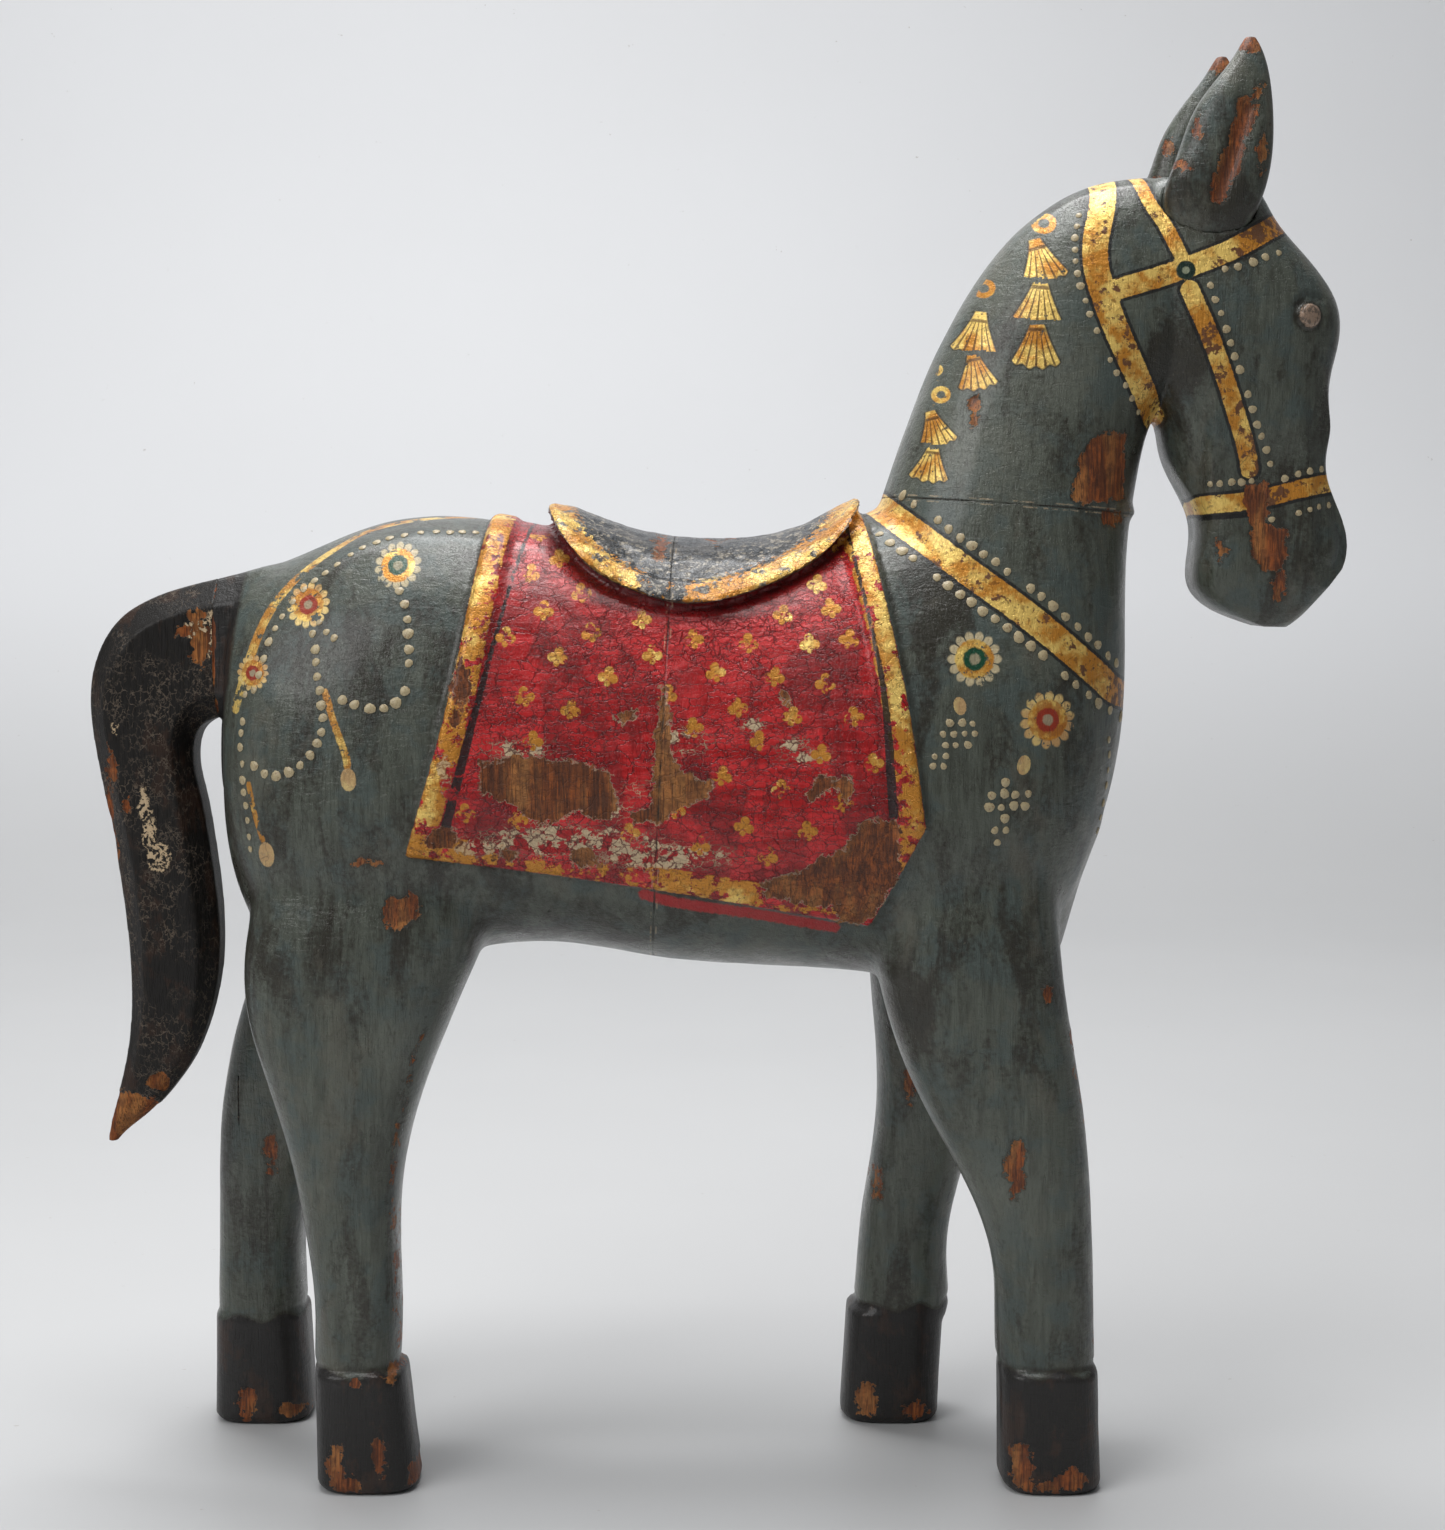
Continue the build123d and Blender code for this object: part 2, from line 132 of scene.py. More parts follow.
STRAPS = (HEADSTALL, CROWN_STRAP, BROWBAND, CHEEK_STRAP, NOSEBAND, BREAST_STRAP)
CORDS = (CRUPPER, *RUMP_CORDS)

# flowers, tassels and drops: kind, middle, size
FLOWER_GREEN, FLOWER_RED, TIER, RING, DROP, ROSETTE, CLOVER = 1, 2, 3, 4, 5, 6, 7
MOTIFS = (
    (FLOWER_GREEN, (58.7, 195.5), 6.4), (FLOWER_RED, (75.7, 181.5), 6.7),
    (FLOWER_GREEN, (-74.2, 216.9), 5.6), (FLOWER_RED, (-95, 207.7), 5.4),
    (FLOWER_RED, (-107.8, 192), 4.2), (ROSETTE, (109.1, 285.5), 2.6),
    (DROP, (55.2, 184.9), 2.3), (DROP, (70, 171.3), 2.5), (DROP, (-84.2, 168.1), 2.9),
    (DROP, (-104.1, 150.3), 3.2),
    (RING, (76.9, 297.2), 3.4), (TIER, (75.7, 288), 6.2), (TIER, (74.9, 278.3), 6.4),
    (TIER, (74.2, 268.2), 6.5),
    (RING, (63, 282), 3), (TIER, (60.8, 271.2), 5.9), (TIER, (60.3, 262.2), 5.2),
    (RING, (51.7, 263), 1.9), (RING, (52.5, 256.8), 2.6), (TIER, (51, 248.8), 4.9), (TIER, (49.8, 240.6), 5),
)

# rows of cream dots: middle line, gap between dots, dot radius
DOT_ROWS = (
    (((84.6, 299), (83.4, 290.3), (85.5, 278.4), (91.3, 264.5), (99, 253)), 2.7, 0.9),
    (((118, 285.6), (126, 287.8), (134, 290.6)), 2.9, 1.05),
    (((114.6, 282), (122, 262.4), (127.5, 248), (130.5, 239.5)), 2.75, 1),
    (((116, 235.8), (126, 236.8)), 2.4, 0.9),
    (((133.5, 237.5), (146, 240.5)), 2.5, 1),
    (((131, 227.5), (140, 230), (147, 231.5)), 2.5, 0.85),
    (((43.5, 233.3), (58.7, 221.3), (74.6, 209.7), (90.5, 196.6), (96, 192)), 3, 1.2),
    (((37.8, 224.3), (53, 212.3), (69, 200.5), (85, 187.6), (95.5, 181)), 3, 1.25),
    (((92.2, 176), (91.8, 165), (89.8, 152)), 3.2, 1),
    (
        (
            (-57, 224.6), (-69, 224.6), (-79.5, 222.6), (-86, 219.2), (-95.8, 211.8), (-102.5, 202.2),
            (-107.4, 188),
        ),
        2.9,
        1.05,
    ),
    (
        (
            (-73.2, 211), (-71.2, 204.5), (-70.8, 198.7), (-70.4, 192.5), (-71.6, 187.5), (-74.6, 185),
            (-78.5, 184.4), (-84, 185.4), (-88.2, 187.2),
        ),
        3,
        1.3,
    ),
    (
        (
            (-93.2, 200.9), (-92, 194.5), (-91.2, 188.4), (-90.2, 182), (-91, 177.6), (-93.6, 173.2),
            (-97.9, 169.7), (-103, 168.6), (-107, 170.6),
        ),
        2.9,
        1.2,
    ),
    (((-109.6, 187), (-110.4, 178), (-110.1, 170), (-108.3, 151.1)), 2.9, 1),
    (((-92, 203.5), (-88, 200)), 2.4, 1),
)
# hanging clusters of dots: middle of the top row, dots in each row, gap, sideways drift of each row, radius
DOT_GROUPS = (
    ((55.5, 181), (3, 4, 3), 2.5, -0.6, 0.92), ((50.6, 173.6), (2, 2), 2.5, -0.4, 0.8),
    ((67.3, 167.4), (2, 4, 4, 3), 2.75, -0.5, 1.1), ((64.6, 156.2), (2, 1), 2.6, -0.4, 1.05),
)

# bare wood on the right side: middle, half length, half height
RIGHT_CHIPS = (
    ((-4, 226.5), 5.5, 1.7), ((-13.5, 221.5), 1.5, 3), ((0.5, 223.5), 2.2, 1), ((-58.5, 189.7), 2.3, 5.2),
    ((-59.5, 182.5), 1.2, 2), ((-63, 154.8), 4, 2.3), ((-47.5, 150.8), 2.3, 1.3), ((-31, 150), 4.2, 1.9),
    ((-21, 182.5), 1.6, 1.2), ((15.5, 187), 1.6, 1.4), ((60.1, 254.3), 1.8, 2.1), ((59.8, 251), 0.8, 1.8),
    ((91.6, 228), 2.6, 2.2), ((133, 212.5), 1.2, 4), ((119, 220), 1.2, 2.4), ((-73.3, 137.2), 3.9, 3.6),
    ((-70.8, 140), 1.8, 2), ((-79.7, 149.2), 2.4, 0.9), ((76, 118.4), 0.9, 2.3), ((68.8, 79.5), 2.2, 4.6),
    ((69.3, 73), 1.3, 2.4), ((83.4, 106.5), 0.9, 1.6), ((71, 7), 2.7, 5), ((82.1, 4), 4.4, 2.5),
    ((90.6, 17), 0.8, 6), ((75.5, 3), 5, 1.5), ((-89, 8), 2.2, 4.5), ((-86.5, 3), 4, 1.8),
    ((-79, 9), 1.5, 4), ((-71, 4), 1.4, 2.2), ((-76.5, 28), 1.8, 1.8), ((-84.5, 27), 1.4, 1.2),
)
# the larger ones, as outlines
RIGHT_FLAKES = (
    (
        (-54.3, 171.5), (-45.1, 173.6), (-31.7, 171.5), (-24, 169.4), (-23, 161.2), (-27.5, 159.2),
        (-33.2, 160.5), (-40.6, 157.7), (-47.3, 162.1), (-52.9, 165.4),
    ),
    (
        (-13.1, 189.1), (-11.7, 189.1), (-10.9, 175), (-7.8, 169.4), (-1.4, 168), (-1.8, 163.8),
        (-7.8, 162.3), (-13.4, 158.1), (-19.8, 158.8), (-20.2, 160.7), (-15.5, 162.3), (-14.5, 173.6),
    ),
    (
        (10.6, 140.9), (10.3, 144), (17.6, 146.6), (23.2, 149.7), (29.6, 152.2), (32, 158.4),
        (40.9, 159.5), (41.6, 151.1), (41.6, 145.4), (37.3, 138.4), (33.1, 134.1), (28.2, 134.9),
        (27.5, 138.4), (17.6, 139.8),
    ),
    (
        (20.4, 165.2), (23.2, 168.3), (29.6, 168.7), (31, 165.2), (29.6, 162.3), (27.5, 165.4),
        (24.7, 165.9), (21.8, 163.8),
    ),
    (
        (124.7, 235.5), (129, 236.1), (130.6, 231.1), (129.6, 226.6), (133.8, 225), (135.6, 219.2),
        (132.9, 215.3), (129, 215.6), (125.9, 220), (126.1, 225.6), (124.8, 231.1),
    ),
    (
        (88.6, 247.3), (95.9, 247.6), (95.1, 240.8), (95.6, 232.7), (92.6, 231.6), (87.8, 231.4),
        (82.1, 231.8), (83.7, 240.8), (85.3, 244.1),
    ),
)
LEFT_CHIPS = (
    ((14, 172), 12, 5.2), ((22, 169), 5, 4.2), ((-12, 176), 2, 9), ((-47, 160), 4.6, 6.8),
    ((-33, 148), 10.5, 3), ((-60.5, 176), 2, 4.4), ((36, 188), 2.6, 3), ((12, 196), 2.1, 1.6),
    ((-31, 199), 1.7, 1.3), ((72, 246.5), 3.4, 4.6), ((58, 213), 1.8, 2.2), ((86, 258), 1.7, 2.8),
    ((128, 217), 3, 3.8), ((136, 243), 1.5, 2.4), ((-84, 152), 3.2, 2.4), ((-96, 178), 1.5, 2.2),
    ((48, 90), 1.7, 5.4), ((40, 62), 1.1, 3), ((-112, 70), 1.4, 4.2), ((-114, 118), 1.6, 2.6),
    ((38, 6), 2.6, 4.4), ((50, 4), 3.6, 2.2), ((-119, 5.5), 2.4, 4), ((-108, 3.6), 3.4, 1.8),
    ((112, 250), 1.4, 3), ((70, 178), 1.4, 1.8),
)
# worn leading edges of the right hind leg and foreleg: half width, then the line
WORN_EDGES = (
    (0.55, ((-67, 112), (-72.5, 96), (-75.6, 76), (-75.4, 50), (-74.8, 33))),
    (0.4, ((83, 100), (87.2, 80), (88.6, 50), (88.6, 34))),
)
# cream ground showing: middle, half length, half height
GESSO = (
    ((-35, 154), 17, 3.2), ((-12, 150.5), 12, 2.6), ((-45, 175), 5, 1.6), ((-24, 161), 3.2, 1.3),
    ((-8, 177), 4.6, 2.4), ((8, 180.5), 1.6, 1), ((17.5, 176), 2, 1), ((-16, 166.5), 3, 1.2),
    ((30, 145), 5, 2.8), ((-62, 170), 1.3, 3.6), ((21, 173.5), 2.6, 0.9), ((-55, 152.5), 4.6, 1.4),
)
# dark handling stains: middle, radius
STAINS = (
    ((-45, 132), 17), ((-75, 130), 14), ((-99, 128), 12), ((42, 122), 12), ((62, 128), 13),
    ((84, 122), 9), ((46, 146), 8), ((105, 262), 12), ((135, 218), 14), ((92, 236), 11), ((-58, 143), 10),
    ((-106, 140), 9), ((112, 298), 9), ((-88, 196), 12), ((48, 220), 7), ((-64, 198), 8), ((-88, 88), 9),
    ((-56, 205), 6),
)
# places where the slate is worn pale and dusty, and on the neck a painted highlight: middle, radius
PALE_AND_LIT = (((60, 250), 20), ((70, 284), 14), ((78, 262), 12), ((-70, 105), 12), ((62, 70), 12))
# glossy blue-black panel between the bridle's straps
PANEL = ((94, 308), (104, 303), (108, 292), (104.5, 287), (93.5, 284.5), (91.5, 291))

# crimson that ran over the lower edge of the cloth on the right side
OVERPAINT = (1.3, ((-17, 141.2), (-8, 139), (10, 136.4), (27, 133.2)))

TAIL_PAINT_EDGE = ((-116.2, 180), (-114.6, 190.6), (-113.1, 214.6), (-112.6, 222))
TAIL_CHIPS = (
    ((-123.6, 197.5), 2.2, 4.6), ((-118.6, 192), 1.2, 7.5), ((-127, 201), 2, 1.6),
    ((-145.4, 168), 1.6, 4), ((-146.5, 150), 1.1, 14), ((-143.5, 80), 8.5, 9.5), ((-136, 92), 2.2, 2.2),
    ((-141.8, 160), 1, 1.4), ((-124, 205), 1.8, 1),
)
TAIL_GESSO = (
    ((-124.5, 201.5), 3.2, 2.4), ((-137.6, 160), 1.3, 5.5), ((-136.2, 152.5), 1.7, 4.6),
    ((-134.2, 147), 3, 3.8), ((-121, 200), 1.4, 5), ((-144, 178), 0.9, 1.6), ((-128, 93), 1.6, 1.8),
)

# small knots that stand proud on the right side: middle, radius, height
KNOTS = (((86, 107), 2, 3), ((99.4, 229.5), 1.6, 0.9), ((41, 121.5), 2, 0.7))

EYE = (138.6, 275.2)
EYE_RADIUS = 2.7
EAR_HOLLOW = ((122.9, 323), (119.6, 312), (116.4, 303))
EAR_CHIPS = (
    ((124, 338.5), 3, 2.8), ((125.2, 326), 1.2, 2.2), ((126.5, 313), 1, 3), ((108.2, 309.7), 1.5, 1.2),
    ((111.5, 318), 0.9, 1.6),
)


# ---- Distances on the horse's side, and smooth noise ----

def eased(t):
    """0 below 0, 1 above 1, and smooth between."""
    t = np.clip(t, 0.0, 1.0)
    return t * t * (3.0 - 2.0 * t)


def lattice(cell, seed):
    """A repeatable number from 0 to 1 for each whole-number cell."""
    mixed = cell[:, 0] * 374761393 + cell[:, 1] * 668265263 + cell[:, 2] * 2147483647 + seed * 974634777
    mixed = (mixed ^ (mixed >> 13)) * 1274126177
    mixed = mixed ^ (mixed >> 16)
    return (mixed & 0xFFFF) / 65535.0


def swell(points, spacing, seed):
    """Smooth noise from -1 to 1 over the points, with bumps the given spacing apart."""
    scaled = points / np.asarray(spacing)
    cell = np.floor(scaled).astype(np.int64)
    part = scaled - cell
    part = part * part * (3.0 - 2.0 * part)
    total = np.zeros(len(points))
    for corner in np.ndindex(2, 2, 2):
        weight = np.prod(np.where(np.array(corner) == 1, part, 1.0 - part), axis=1)
        total += weight * lattice(cell + np.array(corner), seed)
    return total * 2.0 - 1.0


def smooth_line(points, steps=6):
    """Points along a smooth curve through the given ones."""
    points = [np.array(p, float) for p in points]
    padded = [2 * points[0] - points[1], *points, 2 * points[-1] - points[-2]]
    line = []
    for a, b, c, d in zip(padded, padded[1:], padded[2:], padded[3:]):
        for step in range(steps):
            t = step / steps
            bent = 2 * b + (c - a) * t + (2 * a - 5 * b + 4 * c - d) * t**2 + (3 * b - a - 3 * c + d) * t**3
            line.append(0.5 * bent)
    line.append(points[-1])
    return line


def line_distance(x, z, points):
    """Distance from each (x, z) to a line of points."""
    nearest = np.full(len(x), 1e6)
    for a, b in zip(points, points[1:]):
        dx, dz = b[0] - a[0], b[1] - a[1]
        t = np.clip(((x - a[0]) * dx + (z - a[1]) * dz) / (dx * dx + dz * dz), 0.0, 1.0)
        nearest = np.minimum(nearest, np.hypot(x - a[0] - t * dx, z - a[1] - t * dz))
    return nearest


def outline_distance(x, z, points):
    """Distance from each (x, z) to a closed outline, negative inside."""
    ring = [*points, points[0]]
    inside = np.zeros(len(x), bool)
    for a, b in zip(ring, ring[1:]):
        crosses = (a[1] > z) != (b[1] > z)
        rise = b[1] - a[1]
        at = a[0] + (z - a[1]) * (b[0] - a[0]) / (rise if rise else 1.0)
        inside ^= crosses & (x < at)
    distance = line_distance(x, z, ring)
    return np.where(inside, -distance, distance)


def spot_distance(x, z, spots):
    """Distance to the edge of the nearest oval spot, negative inside."""
    nearest = np.full(len(x), FAR)
    for (cx, cz), half_length, half_height in spots:
        scaled = np.hypot((x - cx) / half_length, (z - cz) / half_height)
        nearest = np.minimum(nearest, (scaled - 1.0) * min(half_length, half_height))
    return nearest


def soft_spots(x, z, spots):
    """1 at the middle of each spot, fading to 0 beyond its radius."""
    strength = np.zeros(len(x))
    for (cx, cz), radius in spots:
        strength = np.maximum(strength, np.exp(-((x - cx) ** 2 + (z - cz) ** 2) / radius**2))
    return strength


def strap_distance(x, z, strap, slope=1.0):
    """Distance to a strap's edge. slope is below 1 where the surface leans away from the side."""
    half_width, points = strap
    return line_distance(x, z, smooth_line(points)) / slope - half_width


def nearest_of(distances):
    """The smallest of several distances at each vertex."""
    return np.minimum.reduce(list(distances), initial=FAR)


CLOTH_OUTLINE = [*smooth_line(CLOTH_REAR), *smooth_line(CLOTH_LOWER)[1:], *smooth_line(CLOTH_FRONT)]
SADDLE_OUTLINE = smooth_line(SADDLE_EDGE)


# ---- Meshes ----

def plane_metres(seam, offset=0.0):
    """The point and direction of a glue joint in metres, moved along its direction by some mm."""
    origin, direction = seam
    direction = Vector(direction).normalized()
    return (Vector(origin) + direction * offset) * MM, direction


def to_mesh(bm, name):
    mesh = bpy.data.meshes.new(name)
    bm.to_mesh(mesh)
    bm.free()
    return mesh


def split(bm, origin, direction, clear=False):
    """Cuts every face at a plane, and clears what lies behind it where asked."""
    everything = [*bm.verts, *bm.edges, *bm.faces]
    bmesh.ops.bisect_plane(
        bm, geom=everything, plane_co=origin, plane_no=direction, dist=1e-7, clear_inner=clear
    )


def open_rim(bm, origin, direction):
    """The open edges that lie in a plane."""
    return [
        e for e in bm.edges
        if e.is_boundary and all(abs((v.co - origin).dot(direction)) < ON_PLANE for v in e.verts)
    ]


def outer_skin(node, seams):
    """The outside of a CAD block: its joint faces and dowel bores left out, as a new mesh's data."""
    bm = bmesh.new()
    bm.from_mesh(nodes[node].data)
    bmesh.ops.remove_doubles(bm, verts=bm.verts, dist=2e-6)
    joint_faces = []
    for face in bm.faces:
        centre = face.calc_center_median()
        for seam in seams:
            origin, direction = plane_metres(seam)
            if abs((centre - origin).dot(direction)) < 2e-5 and abs(face.normal.dot(direction)) > 0.99:
                joint_faces.append(face)
                break
    bmesh.ops.delete(bm, geom=joint_faces, context="FACES")
    bm.faces.ensure_lookup_table()
    seen = set()
    largest = []
    for start in bm.faces:
        if start in seen:
            continue
        island, queue = [], [start]
        seen.add(start)
        while queue:
            face = queue.pop()
            island.append(face)
            for edge in face.edges:
                for other in edge.link_faces:
                    if other not in seen:
                        seen.add(other)
                        queue.append(other)
        if len(island) > len(largest):
            largest = island
    keep = set(largest)
    bmesh.ops.delete(bm, geom=[f for f in bm.faces if f not in keep], context="FACES")
    return bm


def joined_skin(parts, crops=()):
    """The blocks' outer skins in one mesh, cut off and closed at each of the given planes."""
    whole = bmesh.new()
    for node, seams in parts:
        skin = outer_skin(node, seams)
        carrier = to_mesh(skin, "carrier")
        whole.from_mesh(carrier)
        bpy.data.meshes.remove(carrier)
    for crop in crops:
        origin, direction = plane_metres(crop)
        split(whole, origin, direction, clear=True)
        bmesh.ops.triangle_fill(whole, use_beauty=True, edges=open_rim(whole, origin, direction))
    return to_mesh(whole, "joined")


def remeshed(mesh, voxel):
    """An even net of small faces over a mesh, as a new mesh."""
    carrier = bpy.data.objects.new("carrier", mesh)
    bpy.context.scene.collection.objects.link(carrier)
    modifier = carrier.modifiers.new("even", "REMESH")
    modifier.mode = "VOXEL"
    modifier.voxel_size = voxel * MM
    depsgraph = bpy.context.evaluated_depsgraph_get()
    even = bpy.data.meshes.new_from_object(carrier.evaluated_get(depsgraph))
    bpy.data.objects.remove(carrier)
    return even


def rows_of(items, name, width, kind=float):
    """One property of a mesh's items, in rows of the given width."""
    flat = np.empty(len(items) * width, kind)
    items.foreach_get(name, flat)
    return flat.reshape(-1, width)


def positions(mesh):
    """Vertex positions in millimetres."""
    return rows_of(mesh.vertices, "co", 3) / MM


def set_positions(mesh, points):
    mesh.vertices.foreach_set("co", (points * MM).ravel())
    mesh.update()


def normals(mesh):
    return rows_of(mesh.vertex_normals, "vector", 3)


def neighbour_mean(points, edges, counts):
    """The mean of each vertex's neighbours."""
    total = np.zeros_like(points)
    for axis in range(points.shape[1]):
        total[:, axis] = np.bincount(edges[:, 0], points[edges[:, 1], axis], len(points))
        total[:, axis] += np.bincount(edges[:, 1], points[edges[:, 0], axis], len(points))
    return total / counts[:, None]


def edge_table(mesh):
    """The vertices of each edge, and how many edges meet at each vertex."""
    edges = rows_of(mesh.edges, "vertices", 2, np.int64)
    counts = np.maximum(np.bincount(edges.ravel(), minlength=len(mesh.vertices)), 1)
    return edges, counts


def relaxed(mesh, rounds):
    """Sanded: the steps and hard creases go, and the size stays."""
    edges, counts = edge_table(mesh)
    points = positions(mesh)
    for turn in range(rounds):
        for pull in (0.55, -0.57):
            points = points + pull * (neighbour_mean(points, edges, counts) - points)
    set_positions(mesh, points)


def softened(mesh, rounds):
    """The shoulders, flanks and thighs run into each other without a crease, clear of the cloth."""
    edges, counts = edge_table(mesh)
    points = positions(mesh)
    cloth = outline_distance(points[:, 0], points[:, 2], CLOTH_OUTLINE)
    saddle = outline_distance(points[:, 0], points[:, 2], SADDLE_OUTLINE)
    share = eased((cloth - 1.5) / 7.0) * eased((saddle - 2.0) / 4.0) * eased((points[:, 2] - 98.0) / 24.0)
    share *= eased((points[:, 0] + 116.0) / 6.0)
    for turn in range(rounds):
        points = points + 0.6 * share[:, None] * (neighbour_mean(points, edges, counts) - points)
    set_positions(mesh, points)


def shaved(mesh):
    """Flattens the cheeks, then makes the head's flat knife cuts."""
    points = positions(mesh)
    head = eased((points[:, 0] - 106.0) / 7.0) * eased((268.0 - points[:, 2]) / 22.0)
    levels = np.arange(200.0, 300.0, 3.0)
    in_head = points[points[:, 0] > 108.0]
    widths = [np.abs(in_head[np.abs(in_head[:, 2] - level) < 2.5, 1]).max(initial=1.0) for level in levels]
    widest = np.interp(points[:, 2], levels, widths)
    share = np.clip(np.abs(points[:, 1]) / widest, 0.0, 1.0)
    boxed = np.sign(points[:, 1]) * widest * (1.0 - (1.0 - share) ** CHEEK_FLATNESS)
    points[:, 1] += head * (boxed - points[:, 1])
    cuts = list(MUZZLE_CUTS)
    for (x, y, z), (along, aside, upward) in JAW_CUTS:
        cuts.append(((x, y, z), (along, aside, upward)))
        cuts.append(((x, -y, z), (along, -aside, upward)))
    for origin, direction in cuts:
        direction = np.array(direction) / np.linalg.norm(direction)
        over = (points - np.array(origin)) @ direction
        points = points - (np.clip(over, 0.0, 2.2) * head)[:, None] * direction
    set_positions(mesh, points)


def crest(mesh, rounds=3):
    """Positive on ridges and negative in grooves, smoothed."""
    edges, counts = edge_table(mesh)
    points = positions(mesh)
    bend = ((points - neighbour_mean(points, edges, counts)) * normals(mesh)).sum(1)[:, None]
    for turn in range(rounds):
        bend = 0.5 * bend + 0.5 * neighbour_mean(bend, edges, counts)
    return bend[:, 0]


def past_joint(seam, centre):
    """True for a point of the block that lies along the seam's direction."""
    origin, direction = plane_metres(seam)
    if seam is NECK_SEAM and centre.x > NECK_FRONT * MM:
        return True
    if (centre - origin).dot(direction) < 0.0:
        return False
    if seam is NECK_SEAM:
        return centre.x > NECK_REAR * MM
    if seam is TAIL_SEAM:
        return abs(centre.y) < TAIL_HALF_WIDTH * MM or centre.z > DOCK_LOW * MM
    return True


def cut_block(mesh, cuts, name):
    """The part of the skin on one side of each glue joint, closed, with a fine groove at the joint.
    Each cut is (seam, side): side is 1 to keep what lies along the seam's direction, else -1."""
    bm = bmesh.new()
    bm.from_mesh(mesh)
    for seam, side in cuts:
        for offset in (SEAM_HALF_WIDTH * side, 0.0):
            origin, direction = plane_metres(seam, offset)
            split(bm, origin, direction)
        lost = [f for f in bm.faces if past_joint(seam, f.calc_center_median()) != (side > 0)]
        bmesh.ops.delete(bm, geom=lost, context="FACES")
        rim = open_rim(bm, origin, direction)
        bm.normal_update()
        for vert in {v for e in rim for v in e.verts}:
            inward = -vert.normal
            inward -= inward.dot(direction) * direction
            if inward.length > 1e-4:
                where = vert.co / MM
                rough = 0.7 + 0.3 * math.sin(where.x * 1.7 + where.y * 2.3 + where.z * 1.9)
                vert.co += inward.normalized() * SEAM_DEPTH * rough * MM
        bmesh.ops.triangle_fill(bm, use_beauty=True, edges=[e for e in rim if e.is_boundary])
    bmesh.ops.recalc_face_normals(bm, faces=bm.faces)
    return to_mesh(bm, name)


def write(mesh, name, values):
    """Stores one number, or one vector, for each vertex."""
    values = np.asarray(values, np.float32)
    if values.ndim == 1:
        mesh.attributes.new(name, "FLOAT", "POINT").data.foreach_set("value", values)
    else:
        mesh.attributes.new(name, "FLOAT_VECTOR", "POINT").data.foreach_set("vector", values.ravel())


def drift_along(z, reach):
    return reach * np.sin(z / 23.0 + 0.7)


def drift_up(x, reach):
    return reach * np.cos(x / 19.0 + 0.3)


def painted_at(points):
    """Where each vertex lies in the painter's layout, which strays a little on the left side."""
    x, y, z = points.T
    reach = LEFT_DRIFT * eased(y / 12.0)
    return x + drift_along(z, reach), z + drift_up(x, reach)


def chip_distance(points, x, z):
    """Distance to the nearest chip, which never reaches the horse's middle line."""
    right = spot_distance(x, z, RIGHT_CHIPS)
    for flake in RIGHT_FLAKES:
        right = np.minimum(right, outline_distance(x, z, flake))
    left = spot_distance(points[:, 0], points[:, 2], LEFT_CHIPS)
    chips = np.where(points[:, 1] < 0, right, left)
    from_middle = np.abs(points[:, 1])
    return np.where(from_middle < 6.0, np.maximum(chips, 3.0 - from_middle * 0.5), chips)


def motif_fields(x, z):
    """For each vertex: its place within the nearest motif, that motif's kind, and how far out it is.
    Half way between two motifs it belongs to neither."""
    best = np.full(len(x), NO_MOTIF)
    second = np.full(len(x), NO_MOTIF)
    local = np.zeros((len(x), 3))
    marks = [*MOTIFS, *((CLOVER, at, CLOVER_SIZE) for at in CLOVERS)]
    for number, (kind, (cx, cz), size) in enumerate(marks):
        lean = 0.22 * math.sin(number * 2.4)
        across = ((x - cx) * math.cos(lean) + (z - cz) * math.sin(lean)) / size
        up = ((z - cz) * math.cos(lean) - (x - cx) * math.sin(lean)) / size
        out = np.hypot(across, up)
        nearer = out < best
        second = np.minimum(second, np.maximum(out, best))
        best = np.minimum(out, best)
        local[nearer] = np.stack([across, up, np.full(len(x), float(kind))], 1)[nearer]
    return local, np.where(second - best < MOTIF_MARGIN, NO_MOTIF, best)


def leaf_loss(x, z, cloth, saddle):
    """How much more than usual the gold leaf has rubbed away, from 0 to about 0.2."""
    lower_edge = eased((CLOTH_BORDER + 1.5 + cloth) / 2.0) * eased((157.0 - 0.15 * x - z) / 6.0)
    kept_middle = eased((15.0 - np.abs(x + 3.0)) / 5.0)
    kept_corner = eased((-52.0 - x) / 8.0)
    loss = np.where(cloth < 0.5, 0.10 * lower_edge * (1.0 - kept_middle) * (1.0 - kept_corner), 0.0)
    inner_half = eased((-cloth - 2.8) / 1.6)
    loss += np.where(cloth < 0.5, 0.05 * inner_half + 0.012 * eased((185.0 - z) / 30.0), 0.0)
    at_joint = np.exp(-(((x + 12.5) / 4.5) ** 2))
    loss = np.where(saddle < 0.0, 0.02 + 0.2 * at_joint + 0.04 * eased((-saddle - 2.5) / 2.5), loss)
    nose = np.exp(-(((x - 131.0) / 6.5) ** 2)) * np.exp(-(((z - 234.0) / 7.0) ** 2))
    brow = eased((x - 120.0) / 6.0) * eased((z - 280.0) / 6.0)
    breast_end = eased((x - 88.0) / 8.0) * eased((196.0 - z) / 4.0)
    cheek = eased((x - 92.0) / 8.0) * eased((282.0 - z) / 10.0) * eased((z - 240.0) / 4.0)
    return loss + 0.15 * nose + 0.12 * brow + 0.12 * breast_end + 0.035 * cheek


